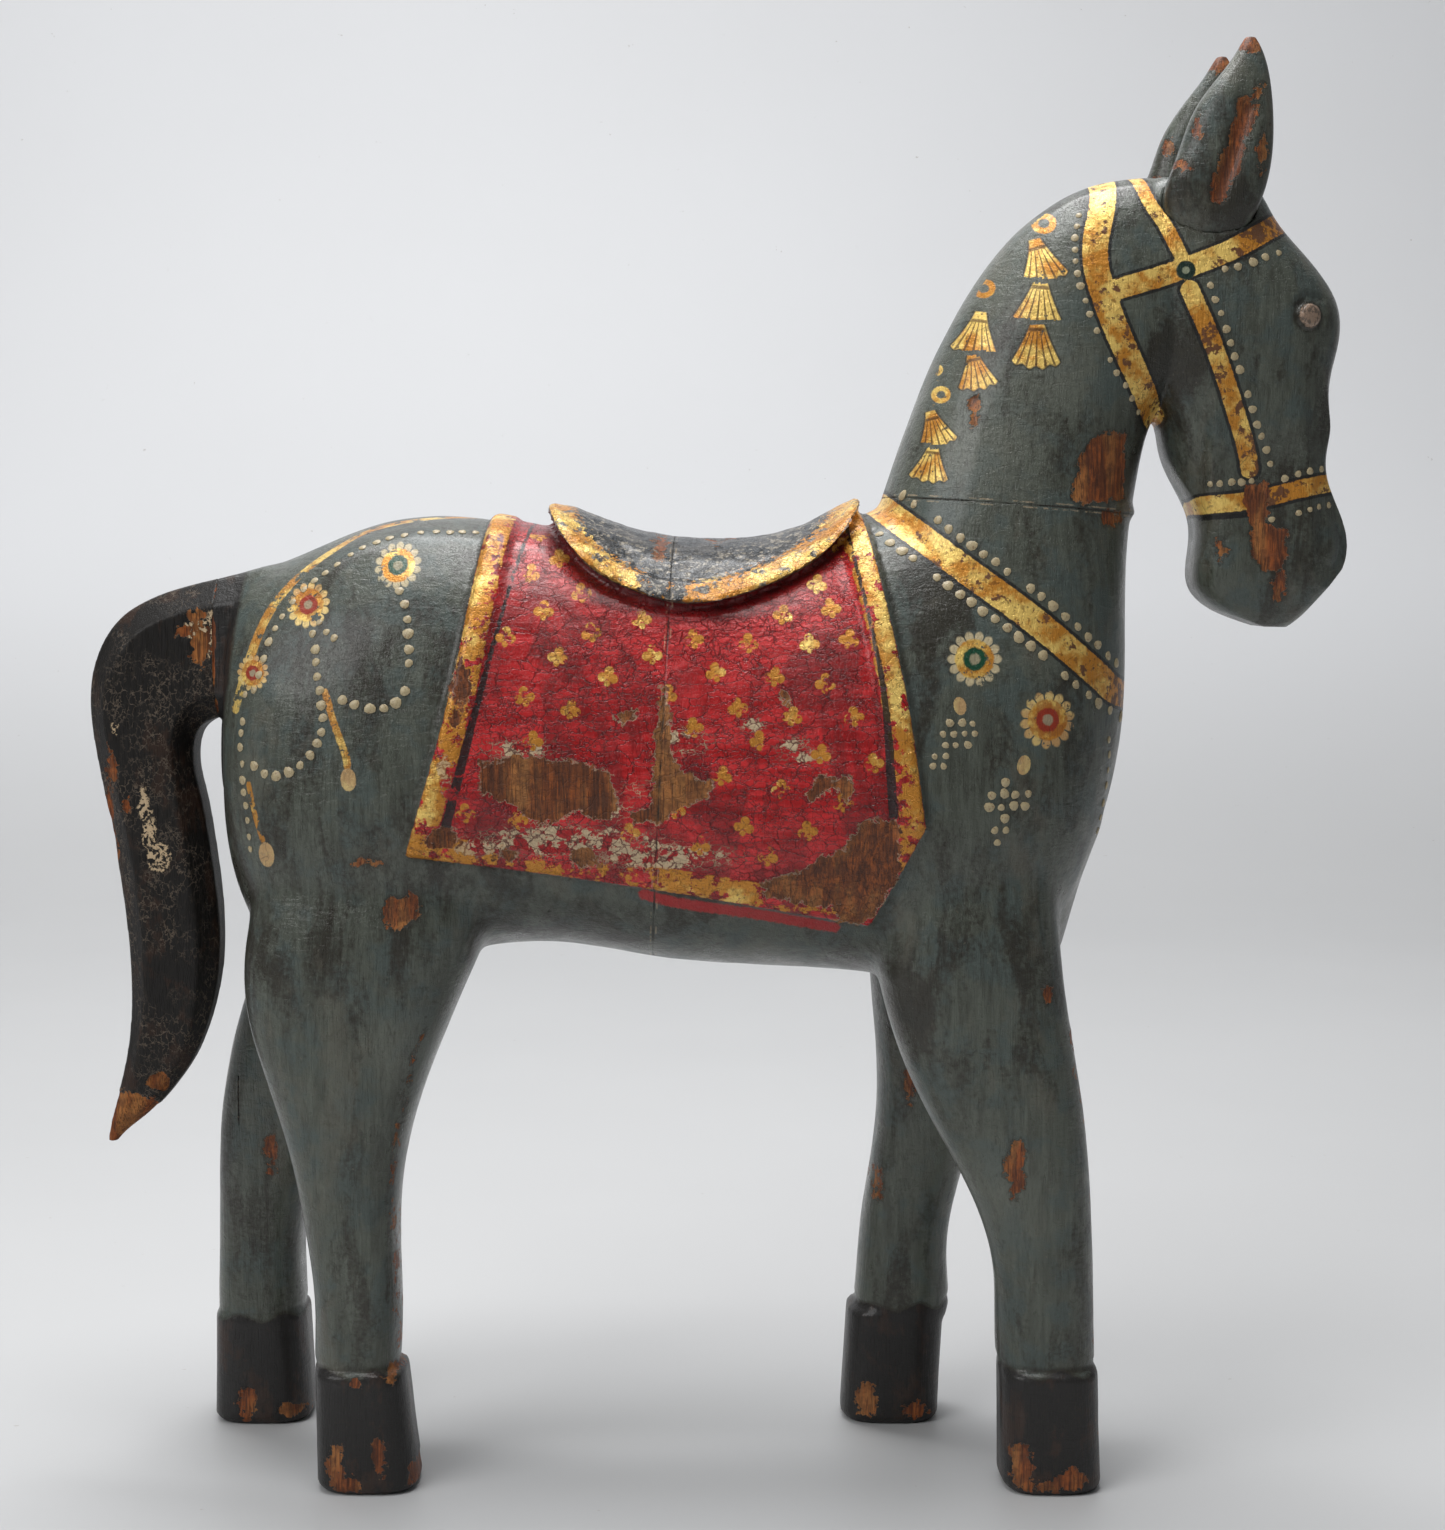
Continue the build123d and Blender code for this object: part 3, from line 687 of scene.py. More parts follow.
def paint_fields(mesh, tail=False):
    """Writes the painter's layout onto a block: distances in millimetres, negative inside each area."""
    points = positions(mesh)
    x, z = painted_at(points)
    y = points[:, 1]
    cloth = outline_distance(points[:, 0], points[:, 2], CLOTH_OUTLINE)
    saddle = outline_distance(points[:, 0], points[:, 2], SADDLE_OUTLINE)
    border = np.maximum(np.abs(cloth + CLOTH_BORDER / 2) - CLOTH_BORDER / 2, -saddle)
    straps = np.maximum(nearest_of(strap_distance(x, z, strap) for strap in STRAPS), -cloth)
    sideways = np.abs(normals(mesh)[:, 1])
    slope = np.maximum(sideways, 0.15)
    cords = nearest_of(strap_distance(x, z, cord, slope) for cord in CORDS)
    thick = 0.45 + 0.6 * eased((208.0 - z) / 45.0)
    lines = nearest_of(strap_distance(x, z, (thick, line)) for line in CLOTH_LINES)
    lines = np.minimum(lines, line_distance(x, z, NOSE_LINE[1]) - NOSE_LINE[0])
    worn = nearest_of(strap_distance(x, z, edge) for edge in WORN_EDGES)
    if tail:
        chips = spot_distance(points[:, 0], points[:, 2], TAIL_CHIPS)
        gesso = spot_distance(points[:, 0], points[:, 2], TAIL_GESSO)
        black = np.full(len(x), -9.0)
    else:
        chips = chip_distance(points, x, z)
        chips = np.where((z < 125.0) & (y < 0), np.minimum(chips, worn + 0.6), chips)
        gesso = np.maximum(spot_distance(x, z, GESSO), cloth)
        hoof = z - HOOF_TOP - 0.9 * np.sin(x * 0.55 + y * 0.3)
        edge_x, edge_z = zip(*TAIL_PAINT_EDGE)
        dock_side = np.where(z > DOCK_LOW, points[:, 0] - np.interp(z, edge_z, edge_x), FAR)
        black = np.minimum(hoof, dock_side)
    # Above zero, dark stains; below zero, pale places, worn and dusty, and on the neck a painted highlight.
    stain_and_highlight = soft_spots(x, z, STAINS) - soft_spots(x, z, PALE_AND_LIT)
    panel = outline_distance(x, z, smooth_line((*PANEL, PANEL[0])))
    local, out = motif_fields(x, z)
    out = np.where(sideways < SIDEWAYS, NO_MOTIF, out)
    eye = np.hypot(points[:, 0] - EYE[0], points[:, 2] - EYE[1]) - EYE_RADIUS
    eye = np.where(np.abs(y) > 8.0, eye, FAR)
    seam = np.full(len(x), FAR)
    for (origin, direction), front in ((BARREL_SEAM, 20.0), (NECK_SEAM, NECK_FRONT)):
        direction = np.array(direction) / np.linalg.norm(direction)
        nearer = np.minimum(seam, np.abs((points - np.array(origin)) @ direction))
        seam = np.where(points[:, 0] < front, nearer, seam)
    red = strap_distance(x, z, OVERPAINT)
    fields = {
        "cloth": cloth, "saddle": saddle, "border": border, "loss": leaf_loss(x, z, cloth, saddle),
        "straps": straps, "cords": cords, "lines": lines, "chips": chips, "gesso": gesso, "black": black,
        "stain_and_highlight": stain_and_highlight, "panel": panel, "motif": local, "motif_out": out,
        "red": np.where(y < 0.0, red, FAR), "eye": eye, "seam": seam, "crest": crest(mesh),
    }
    for name, values in fields.items():
        write(mesh, name, values)


def carve(mesh, tail=False):
    """Knife marks, shallow chips in the paint, and the small carved features."""
    points = positions(mesh)
    out = normals(mesh)
    x, z = painted_at(points)
    depth = 0.28 * swell(points, (16.0, 16.0, 34.0), 3) + 0.12 * swell(points, (6.0, 6.0, 13.0), 5)
    if tail:
        chips = spot_distance(points[:, 0], points[:, 2], TAIL_CHIPS)
    else:
        chips = chip_distance(points, x, z)
        saddle = outline_distance(points[:, 0], points[:, 2], SADDLE_OUTLINE)
        depth -= 0.6 * np.exp(-((saddle - 0.9) / 1.1) ** 2)
        depth += np.where(saddle < 0.0, 0.22 * swell(points, (2.6, 2.6, 2.6), 8), 0.0)
        for (knot_x, knot_z), radius, height in KNOTS:
            near = np.hypot(points[:, 0] - knot_x, points[:, 2] - knot_z) / radius
            depth += np.where(points[:, 1] < 0.0, height * np.exp(-near**2), 0.0)
        cloth = outline_distance(points[:, 0], points[:, 2], CLOTH_OUTLINE)
        depth -= np.where(saddle > 2.0, 0.35 * np.exp(-((cloth + 6.6) / 1.2) ** 2), 0.0)
        depth -= np.where(z < 40.0, 0.35 * np.exp(-((z - HOOF_TOP - 1.0) / 0.9) ** 2), 0.0)
        head = (x > 100.0) & (np.abs(points[:, 1]) > 6.0)
        eye = np.hypot(points[:, 0] - EYE[0], points[:, 2] - EYE[1])
        ball = 0.75 * np.sqrt(np.clip(1.0 - (eye / (EYE_RADIUS + 0.2)) ** 2, 0.0, 1.0))
        socket = -0.45 * np.exp(-((eye - EYE_RADIUS - 0.9) / 0.75) ** 2)
        brow = line_distance(points[:, 0], points[:, 2], ((134.6, 277.6), (138.2, 280.3), (142.2, 279.2)))
        lid = -0.5 * np.exp(-((brow / 0.7) ** 2))
        depth += np.where(head, ball + socket + lid, 0.0)
    depth -= 0.3 * eased((0.4 - chips) / 1.0)
    points = points + out * depth[:, None]
    points[:, 2] = np.maximum(points[:, 2], 0.0)
    set_positions(mesh, points)


def piece(mesh, name, node, material):
    """A visible piece in the place of a CAD node."""
    mesh.materials.clear()
    mesh.materials.append(material)
    mesh.shade_smooth()
    mesh.set_sharp_from_angle(angle=math.radians(48))
    shown = bpy.data.objects.new(name, mesh)
    bpy.context.scene.collection.objects.link(shown)
    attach(shown, "root")
    if node:
        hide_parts(node)
    return shown


# ---- Materials ----

class Recipe:
    """Short ways to write a node tree. A surface is a set of colour, roughness, metal and height."""

    def __init__(self, name):
        self.material = bpy.data.materials.new(name)
        self.material.use_nodes = True
        self.tree = self.material.node_tree
        self.tree.nodes.clear()
        self.noises = {}
        self.place = self.scaled(self.node("TexCoord", {}).outputs["Object"], (1.0 / MM,) * 3)
        self.colour = (0.1, 0.1, 0.1, 1.0)
        self.rough = 0.5
        self.metal = 0.0
        self.height = 0.0

    def node(self, kind, inputs, **settings):
        """A new node with its settings, and a number or a link in each of the given inputs."""
        node = self.tree.nodes.new("ShaderNode" + kind)
        for name, setting in settings.items():
            setattr(node, name, setting)
        for name, value in inputs.items():
            if isinstance(value, bpy.types.NodeSocket):
                self.tree.links.new(value, node.inputs[name])
            else:
                node.inputs[name].default_value = value
        return node

    def on_vectors(self, operation, a, b):
        return self.node("VectorMath", {0: a, 1: b}, operation=operation).outputs[0]

    def scaled(self, vector, factors):
        return self.on_vectors("MULTIPLY", vector, factors)

    def attribute(self, name, output="Fac"):
        return self.node("Attribute", {}, attribute_name=name).outputs[output]

    def parts(self, vector):
        return tuple(self.node("SeparateXYZ", {0: vector}).outputs)

    def maths(self, operation, a, b=0.0):
        """One step of arithmetic."""
        return self.node("Math", {0: a, 1: b}, operation=operation).outputs[0]

    def add(self, a, b):
        return self.maths("ADD", a, b)

    def take(self, a, b):
        return self.maths("SUBTRACT", a, b)

    def times(self, a, b):
        return self.maths("MULTIPLY", a, b)

    def size(self, a):
        return self.maths("ABSOLUTE", a)

    def both(self, *masks):
        total = masks[0]
        for mask in masks[1:]:
            total = self.times(total, mask)
        return total

    def either(self, *masks):
        total = masks[0]
        for mask in masks[1:]:
            total = self.maths("MAXIMUM", total, mask)
        return total

    def flip(self, mask):
        return self.take(1.0, mask)

    def below(self, value, edge, soft):
        """1 where the value is under the edge."""
        ends = {"From Min": edge - soft, "From Max": edge + soft, "To Min": 1.0, "To Max": 0.0}
        return self.node("MapRange", {"Value": value, **ends}, interpolation_type="SMOOTHSTEP").outputs[0]

    def above(self, value, edge, soft):
        return self.flip(self.below(value, edge, soft))

    def noise(self, per_mm, detail=3.0, rough=0.55, stretch=(1.0, 1.0, 1.0), bend=0.0):
        """Cloudy values about 0.5. The same request gives the same clouds."""
        request = (per_mm, detail, rough, stretch, bend)
        if request not in self.noises:
            node = self.node("TexNoise", {
                "Vector": self.scaled(self.place, stretch), "Scale": per_mm, "Detail": detail,
                "Roughness": rough, "Distortion": bend,
            })
            self.noises[request] = node.outputs["Fac"]
        return self.noises[request]

    def wander(self, value, broad=0.0, small=0.0):
        """The value with uneven contours: broad bays and small teeth, each of a given reach in mm."""
        for reach, per_mm, detail in ((broad, 0.3, 4.0), (small, 0.9, 3.0)):
            if reach:
                uneven = self.take(self.noise(per_mm, detail, 0.62), 0.5)
                value = self.add(value, self.times(uneven, 2.0 * reach))
        return value

    def cracks(self, per_mm, stretch, warp, width, soft):
        """Thin lines between irregular cells: 1 on the lines."""
        wobble = self.node("TexNoise", {"Vector": self.place, "Scale": per_mm * 1.7, "Detail": 2.0})
        bent = self.on_vectors("ADD", self.place, self.scaled(wobble.outputs["Color"], (warp / per_mm,) * 3))
        cells = self.node(
            "TexVoronoi", {"Vector": self.scaled(bent, stretch), "Scale": per_mm}, feature="DISTANCE_TO_EDGE"
        )
        return self.below(cells.outputs["Distance"], width, soft)

    def blend(self, mask, a, b):
        """Colour a where the mask is 0, and colour b where it is 1."""
        return self.node("Mix", {0: mask, 6: a, 7: b}, data_type="RGBA").outputs[2]

    def between(self, mask, a, b):
        """The same for two numbers."""
        return self.node("Mix", {0: mask, 2: a, 3: b}, data_type="FLOAT").outputs[0]

    def lay(self, mask, colour, rough=None, metal=None):
        """Puts a layer over the surface where the mask is 1."""
        self.colour = self.blend(mask, self.colour, colour)
        if rough is not None:
            self.rough = self.between(mask, self.rough, rough)
        if metal is not None:
            self.metal = self.between(mask, self.metal, metal)

    def raise_by(self, millimetres, *masks):
        """Lifts the surface where all the masks are 1."""
        self.height = self.add(self.height, self.times(self.both(*masks), millimetres))

    def bare_wood(self):
        """Open grain running up the block, darker where handled."""
        grain = self.noise(1.4, 3.0, 0.65, (1.0, 1.0, 0.07), 0.6)
        broad = self.noise(0.16, 3.0, 0.5, (1.0, 1.0, 0.22))
        pores = self.above(self.noise(3.2, 2.0, 0.5, (1.0, 1.0, 0.05)), 0.60, 0.05)
        self.colour = self.blend(self.above(grain, 0.5, 0.14), WOOD_DARK, WOOD)
        self.colour = self.blend(self.times(self.above(broad, 0.55, 0.10), 0.55), self.colour, WOOD_PALE)
        self.colour = self.blend(self.times(pores, 0.75), self.colour, WOOD_DARK)
        handled = self.above(self.noise(0.35, 3.0, 0.6), 0.5, 0.10)
        self.colour = self.blend(self.times(handled, 0.5), self.colour, WOOD_DARK)
        self.rough = 0.7
        self.raise_by(0.16, grain)
        self.raise_by(-0.08, pores)

    def finish(self, coat, coat_rough, specular=0.5):
        relief = self.node("Bump", {"Height": self.height, "Distance": MM})
        shader = self.node("BsdfPrincipled", {
            "Base Color": self.colour, "Roughness": self.rough, "Metallic": self.metal,
            "Normal": relief.outputs[0], "Specular IOR Level": specular,
            "Coat Weight": coat, "Coat Roughness": coat_rough,
        })
        self.node("OutputMaterial", {"Surface": shader.outputs[0]})
        return self.material


def rgb(r, g, b):
    return (r, g, b, 1.0)


WOOD_DARK = rgb(0.074, 0.021, 0.007)
WOOD = rgb(0.32, 0.082, 0.015)
WOOD_PALE = rgb(0.5, 0.22, 0.06)
GESSO_CREAM = rgb(0.6, 0.45, 0.28)
SLATE = rgb(0.056, 0.062, 0.048)
SLATE_LIGHT = rgb(0.105, 0.118, 0.095)
SLATE_BLUE = rgb(0.06, 0.086, 0.083)
# Pale slate: worn and dusty places, and on the neck a painted highlight.
SLATE_PALE = rgb(0.15, 0.158, 0.13)
SLATE_DUST = rgb(0.135, 0.125, 0.095)
# Dark brown-black: soot and grime, and also painted shade in the grooves and beside the chips.
SOOT_AND_SHADE = rgb(0.021, 0.0165, 0.01)
CRIMSON = rgb(0.41, 0.0055, 0.007)
# Deep crimson: darker patches and cracks, and the painted shadow under the saddle.
CRIMSON_DEEP_AND_SHADE = rgb(0.09, 0.003, 0.004)
CRIMSON_ROSE = rgb(0.62, 0.027, 0.03)
GOLD = rgb(0.95, 0.66, 0.18)
GOLD_DEEP = rgb(0.6, 0.25, 0.03)
GOLD_BROWN = rgb(0.16, 0.055, 0.013)
INK = rgb(0.007, 0.0065, 0.0065)
CREAM = rgb(0.52, 0.43, 0.26)
GREEN = rgb(0.005, 0.06, 0.026)
ORANGE_RED = rgb(0.3, 0.03, 0.01)
BLUE_BLACK = rgb(0.018, 0.023, 0.029)
TAR = rgb(0.01, 0.0085, 0.0075)
TAR_BROWN = rgb(0.045, 0.021, 0.012)
TAR_CRAZE = rgb(0.17, 0.13, 0.095)
SEAT_WORN = rgb(0.095, 0.085, 0.075)
SEAT_PALE = rgb(0.42, 0.36, 0.27)
AMBER = rgb(0.38, 0.12, 0.02)
ROSETTE_GREEN = rgb(0.005, 0.022, 0.014)
ROSETTE_PALE = rgb(0.3, 0.33, 0.22)
PLEAT_BROWN = rgb(0.06, 0.028, 0.01)
EYE_PALE = rgb(0.34, 0.235, 0.17)
EYE_WORN = rgb(0.085, 0.068, 0.052)
CREAM_DULL = rgb(0.34, 0.27, 0.15)


class PaintedWood(Recipe):
    """The horse's paint. Each method is one layer, and they go on in the painter's order."""

    def __init__(self, name):
        super().__init__(name)
        self.cloth = self.attribute("cloth")
        self.saddle = self.attribute("saddle")
        self.seam = self.attribute("seam")
        self.gesso_area = self.attribute("gesso")
        self.crest = self.attribute("crest")
        self.motif_out = self.attribute("motif_out")
        self.across, self.up, self.kind = self.parts(self.attribute("motif", "Vector"))
        self.bays = self.noise(0.3, 4.0, 0.62)
        self.teeth = self.noise(0.9, 3.0, 0.62)
        self.fine = self.noise(2.6, 2.0, 0.6)
        self.mottle = self.noise(0.11, 3.0, 0.6)
        self.streak = self.noise(0.55, 3.0, 0.6, (1.0, 1.0, 0.13), 0.35)
        self.grime = self.noise(0.075, 4.0, 0.68, (1.0, 1.0, 0.36), 0.7)
        self.by_cloth = self.below(self.cloth, 0.3, 0.3)
        self.off_saddle = self.above(self.saddle, 0.0, 0.2)
        self.leaf_wear = self.add(self.noise(0.30, 5.0, 0.66), self.attribute("loss"))
        patina = self.add(self.noise(0.13, 4.0, 0.62), self.times(self.attribute("loss"), 1.3))
        # The gold turns deeper towards the bottom of the body.
        patina = self.add(patina, self.times(self.below(self.parts(self.place)[2], 185.0, 22.0), 0.07))
        leaf = self.blend(self.above(patina, 0.50, 0.09), GOLD, GOLD_DEEP)
        brown = self.times(self.above(self.teeth, 0.61, 0.05), 0.55)
        self.leaf = self.blend(brown, leaf, GOLD_BROWN)
        self.leaf_rough = self.between(patina, 0.26, 0.46)
        self.bare_wood()

    def ground(self):
        """Cream gesso over the wood, gone in the chips and on the sharpest edges."""
        ragged = self.wander(self.attribute("chips"), 3.0, 1.5)
        at_seam = self.both(self.by_cloth, self.below(self.wander(self.seam, 2.6), -0.75, 0.12))
        rub = self.add(self.times(self.crest, 2.2), self.take(self.bays, 0.5))
        rubbed = self.both(self.above(rub, 0.54, 0.05), self.above(self.seam, 1.5, 0.2))
        bare = self.either(self.below(ragged, 0.0, 0.12), at_seam, rubbed)
        self.paint = self.flip(bare)
        self.lay(self.paint, GESSO_CREAM, 0.62)
        self.raise_by(0.24, self.paint)
        shows = self.below(self.wander(self.gesso_area, 2.0, 1.1), 0.0, 0.15)
        flakes = self.above(self.teeth, 0.50, 0.03)
        self.cream_shows = self.both(shows, self.either(self.by_cloth, flakes))
        lip_here = self.both(self.by_cloth, self.above(self.noise(0.6, 2.0), 0.40, 0.06))
        self.chip_lip = self.both(self.below(ragged, 0.36, 0.07), lip_here)
        self.chip_shadow = self.both(self.below(ragged, 0.6, 0.3), self.flip(lip_here))
        lip_left_bare = self.flip(self.times(self.chip_lip, 0.7))
        self.over_ground = self.both(self.paint, self.flip(self.cream_shows), lip_left_bare)

    def slate(self):
        """Grey-green ground colour with olive streaks, soot and dust, painted shade in every groove, and
        pale places that on the neck are a painted highlight.
        """
        slate = self.blend(self.above(self.streak, 0.5, 0.32), SLATE, SLATE_LIGHT)
        slate = self.blend(self.times(self.above(self.mottle, 0.54, 0.08), 0.6), slate, SLATE_BLUE)
        grit = self.take(self.teeth, 0.5)
        # Above zero this field feeds the soot; below zero it gives pale slate, worn and dusty, and on the
        # neck a painted highlight.
        stain_and_highlight = self.attribute("stain_and_highlight")
        pale = self.maths("MAXIMUM", self.times(stain_and_highlight, -0.55), 0.0)
        dirt = self.add(self.add(self.grime, self.times(stain_and_highlight, 0.11)), self.times(grit, 0.34))
        soot = self.above(dirt, 0.575, 0.10)
        runs = self.above(self.noise(0.5, 4.0, 0.68, (1.0, 1.0, 0.16), 0.9), 0.58, 0.08)
        # Painted shade: every groove and hollow of the carving is darkened, which also stands for grime in
        # the creases.
        groove = self.below(self.crest, -0.045, 0.04)
        dust = self.above(self.noise(0.05, 4.0, 0.7, (1.0, 1.0, 0.5)), 0.60, 0.05)
        freckles = self.above(self.noise(1.1, 2.0, 0.5), 0.73, 0.02)
        for mask, share, colour in (
            (pale, 1.0, SLATE_PALE), (soot, 0.85, SOOT_AND_SHADE), (runs, 0.32, SOOT_AND_SHADE), (groove, 0.75, SOOT_AND_SHADE),
            (dust, 0.35, SLATE_DUST),
            (self.chip_shadow, 0.6, SOOT_AND_SHADE), (freckles, 0.5, SLATE_DUST),
        ):
            slate = self.blend(self.times(mask, share), slate, colour)
        self.lay(self.over_ground, slate, self.between(self.above(self.mottle, 0.5, 0.2), 0.26, 0.44))
        creases = self.noise(0.38, 3.0, 0.6, (0.5, 0.5, 1.3), 0.8)
        for depth, pattern in ((0.34, creases), (0.08, self.streak), (0.09, self.fine)):
            self.raise_by(depth, pattern)

    def cheek_panel(self):
        """Glossy blue-black between the bridle's straps."""
        panel = self.below(self.wander(self.attribute("panel"), small=0.7), 0.0, 0.25)
        self.lay(self.both(self.over_ground, panel, 0.9), BLUE_BLACK, 0.24)

    def tar(self, crackled):
        """Black of the tail and hooves, rubbed brown, with a fine pale crackle on the tail."""
        edge = self.wander(self.attribute("black"), 0.5, 0.6)
        tar = self.both(self.over_ground, self.below(edge, 0.0, 0.2))
        rub = self.above(self.noise(0.13, 4.0, 0.68, (1.0, 1.0, 0.6)), 0.57, 0.06)
        colour = self.blend(self.times(rub, 0.6), TAR, TAR_BROWN)
        if crackled:
            net = self.cracks(0.68, (1.0, 1.0, 0.55), 1.3, 0.045, 0.03)
            broken = self.above(self.bays, 0.46, 0.10)
            patchy = self.both(self.above(self.noise(0.06, 3.0), 0.44, 0.08), broken)
            colour = self.blend(self.both(net, patchy, 0.7), colour, TAR_CRAZE)
            self.raise_by(-0.10, net, patchy)
        self.lay(tar, colour, 0.5)
        brushed_edge = self.both(self.paint, self.below(self.size(self.take(edge, 0.2)), 0.45, 0.3))
        self.lay(self.times(brushed_edge, 0.6), SOOT_AND_SHADE, 0.5)

    def crimson_cloth(self):
        """Cracked crimson, flaked off its cream ground along the lower edge, with a painted shadow just
        under the saddle's rim.
        """
        self.on_cloth = self.below(self.wander(self.cloth, small=0.35), 0.0, 0.18)
        brushing = self.noise(0.42, 3.0, 0.6, (0.16, 0.5, 1.0), 0.5)
        crimson = self.blend(self.above(brushing, 0.5, 0.12), CRIMSON, CRIMSON_ROSE)
        crimson = self.blend(self.times(self.above(self.grime, 0.52, 0.08), 0.55), crimson, CRIMSON_DEEP_AND_SHADE)
        # Painted shadow: the crimson darkens just below the saddle's rim.
        shadow_under_saddle = self.both(self.below(self.saddle, 3.4, 3.0), self.off_saddle)
        long_cracks = self.cracks(0.26, (0.55, 1.0, 1.4), 0.8, 0.022, 0.02)
        short_cracks = self.cracks(0.6, (0.6, 1.0, 1.3), 0.9, 0.04, 0.025)
        cracked_here = self.above(self.noise(0.055, 3.0), 0.42, 0.10)
        cracked = self.both(short_cracks, cracked_here)
        for mask, share in ((shadow_under_saddle, 0.85), (long_cracks, 0.75), (cracked, 0.7)):
            crimson = self.blend(self.times(mask, share), crimson, CRIMSON_DEEP_AND_SHADE)
        area = self.both(self.over_ground, self.on_cloth, self.off_saddle)
        self.lay(area, crimson, self.between(self.mottle, 0.18, 0.38))
        self.raise_by(-0.18, self.by_cloth, long_cracks)
        self.raise_by(-0.10, self.by_cloth, short_cracks, cracked_here)
        flaking = self.below(self.wander(self.gesso_area, 3.4), 1.0, 1.2)
        flake_net = self.both(short_cracks, self.above(self.bays, 0.46, 0.06))
        self.lay(self.both(area, flake_net, flaking, 0.85), GESSO_CREAM, 0.6)
        ground = self.both(self.paint, self.cream_shows, self.by_cloth)
        self.lay(self.both(ground, self.above(self.bays, 0.51, 0.02)), CRIMSON, 0.35)
        ground_net = self.cracks(0.4, (0.8, 1.0, 1.3), 0.8, 0.055, 0.03)
        self.lay(self.both(ground, ground_net, 0.8), CRIMSON_DEEP_AND_SHADE, 0.6)
        spill = self.both(self.paint, self.below(self.wander(self.attribute("red"), small=0.7), 0.0, 0.3))
        self.lay(self.times(spill, 0.85), CRIMSON, 0.35)

    def saddle_seat(self):
        """Cracked blue-black, with the cream ground coming through near the gilt rim."""
        area = self.both(self.paint, self.below(self.saddle, 0.0, 0.2))
        worn = self.above(self.noise(0.16, 4.0, 0.68), 0.53, 0.05)
        net = self.cracks(0.7, (1.0, 1.0, 1.0), 0.9, 0.08, 0.05)
        seat = self.blend(self.times(worn, 0.6), BLUE_BLACK, SEAT_WORN)
        near_rim = self.above(self.saddle, -SADDLE_BORDER - 6.0, 2.0)
        pale = self.both(near_rim, self.above(self.noise(0.6, 3.0, 0.6), 0.545, 0.03))
        seat = self.blend(self.times(pale, 0.65), seat, SEAT_PALE)
        self.lay(area, self.blend(self.times(net, 0.7), seat, INK), 0.3)
        self.raise_by(-0.16, area, net)

    def gild(self, mask, holds):
        """Gold leaf where it holds, less on bare gesso."""
        kept = self.below(self.leaf_wear, holds, 0.025)
        off_gesso = self.flip(self.times(self.cream_shows, 0.7))
        self.lay(self.both(self.paint, mask, kept, off_gesso), self.leaf, self.leaf_rough, 0.4)

    def gilt_straps(self):
        straps = self.wander(self.attribute("straps"), small=0.3)
        outline = self.both(self.paint, self.below(self.size(self.take(straps, 0.35)), 0.45, 0.15))
        self.lay(self.times(outline, 0.88), INK, 0.4)
        on_straps = self.below(straps, 0.0, 0.12)
        self.lay(self.both(self.paint, on_straps, 0.85), GOLD_BROWN, 0.45)
        self.gild(on_straps, 0.60)

    def gilt_borders(self):
        """The cloth's border, the saddle's rim and the crupper's thin cords."""
        border = self.below(self.wander(self.attribute("border"), 0.9, 0.3), 0.0, 0.15)
        self.gild(self.both(self.on_cloth, self.off_saddle, border), 0.57)
        rim_inner = self.above(self.wander(self.saddle, 3.6, 3.0), -SADDLE_BORDER, 0.15)
        rim_outer = self.below(self.wander(self.saddle, small=0.3), -0.25, 0.15)
        self.gild(self.both(rim_outer, rim_inner), 0.61)
        cords = self.below(self.wander(self.attribute("cords"), small=0.3), 0.0, 0.15)
        self.gild(self.times(cords, 0.8), 0.56)

    def ink_lines(self):
        drawn = self.below(self.wander(self.attribute("lines"), small=0.3), 0.0, 0.12)
        kept = self.below(self.bays, 0.62, 0.03)
        self.lay(self.both(self.paint, self.off_saddle, drawn, kept, 0.93), INK, 0.36)

    def is_kind(self, *codes):
        """1 where the nearest motif is of one of the given kinds."""
        gaps = [self.size(self.take(self.kind, float(code))) for code in codes]
        return self.either(*(self.below(gap, 0.25, 0.02) for gap in gaps))

    def disc(self, across, up, radius, squeeze=1.0):
        """A hand-painted round spot within a motif."""
        aside = self.times(self.take(self.across, across), squeeze)
        height = self.take(self.up, up)
        length = self.maths("SQRT", self.add(self.times(aside, aside), self.times(height, height)))
        return self.below(self.add(length, self.times(self.take(self.fine, 0.5), 0.16)), radius, 0.05)

    def within_motif(self, *codes):
        return self.both(self.paint, self.below(self.motif_out, 1.25, 0.02), self.is_kind(*codes))

    def clovers(self):
        lobes = self.either(
            self.disc(0.0, 0.52, 0.42), self.disc(-0.52, -0.12, 0.42), self.disc(0.52, -0.12, 0.42),
            self.disc(0.0, 0.06, 0.32), self.disc(0.0, -0.62, 0.28),
        )
        kept = self.below(self.leaf_wear, 0.61, 0.02)
        drawn = self.both(self.within_motif(CLOVER), lobes, self.off_saddle, self.on_cloth, kept)
        self.lay(drawn, self.leaf, 0.34, 0.35)

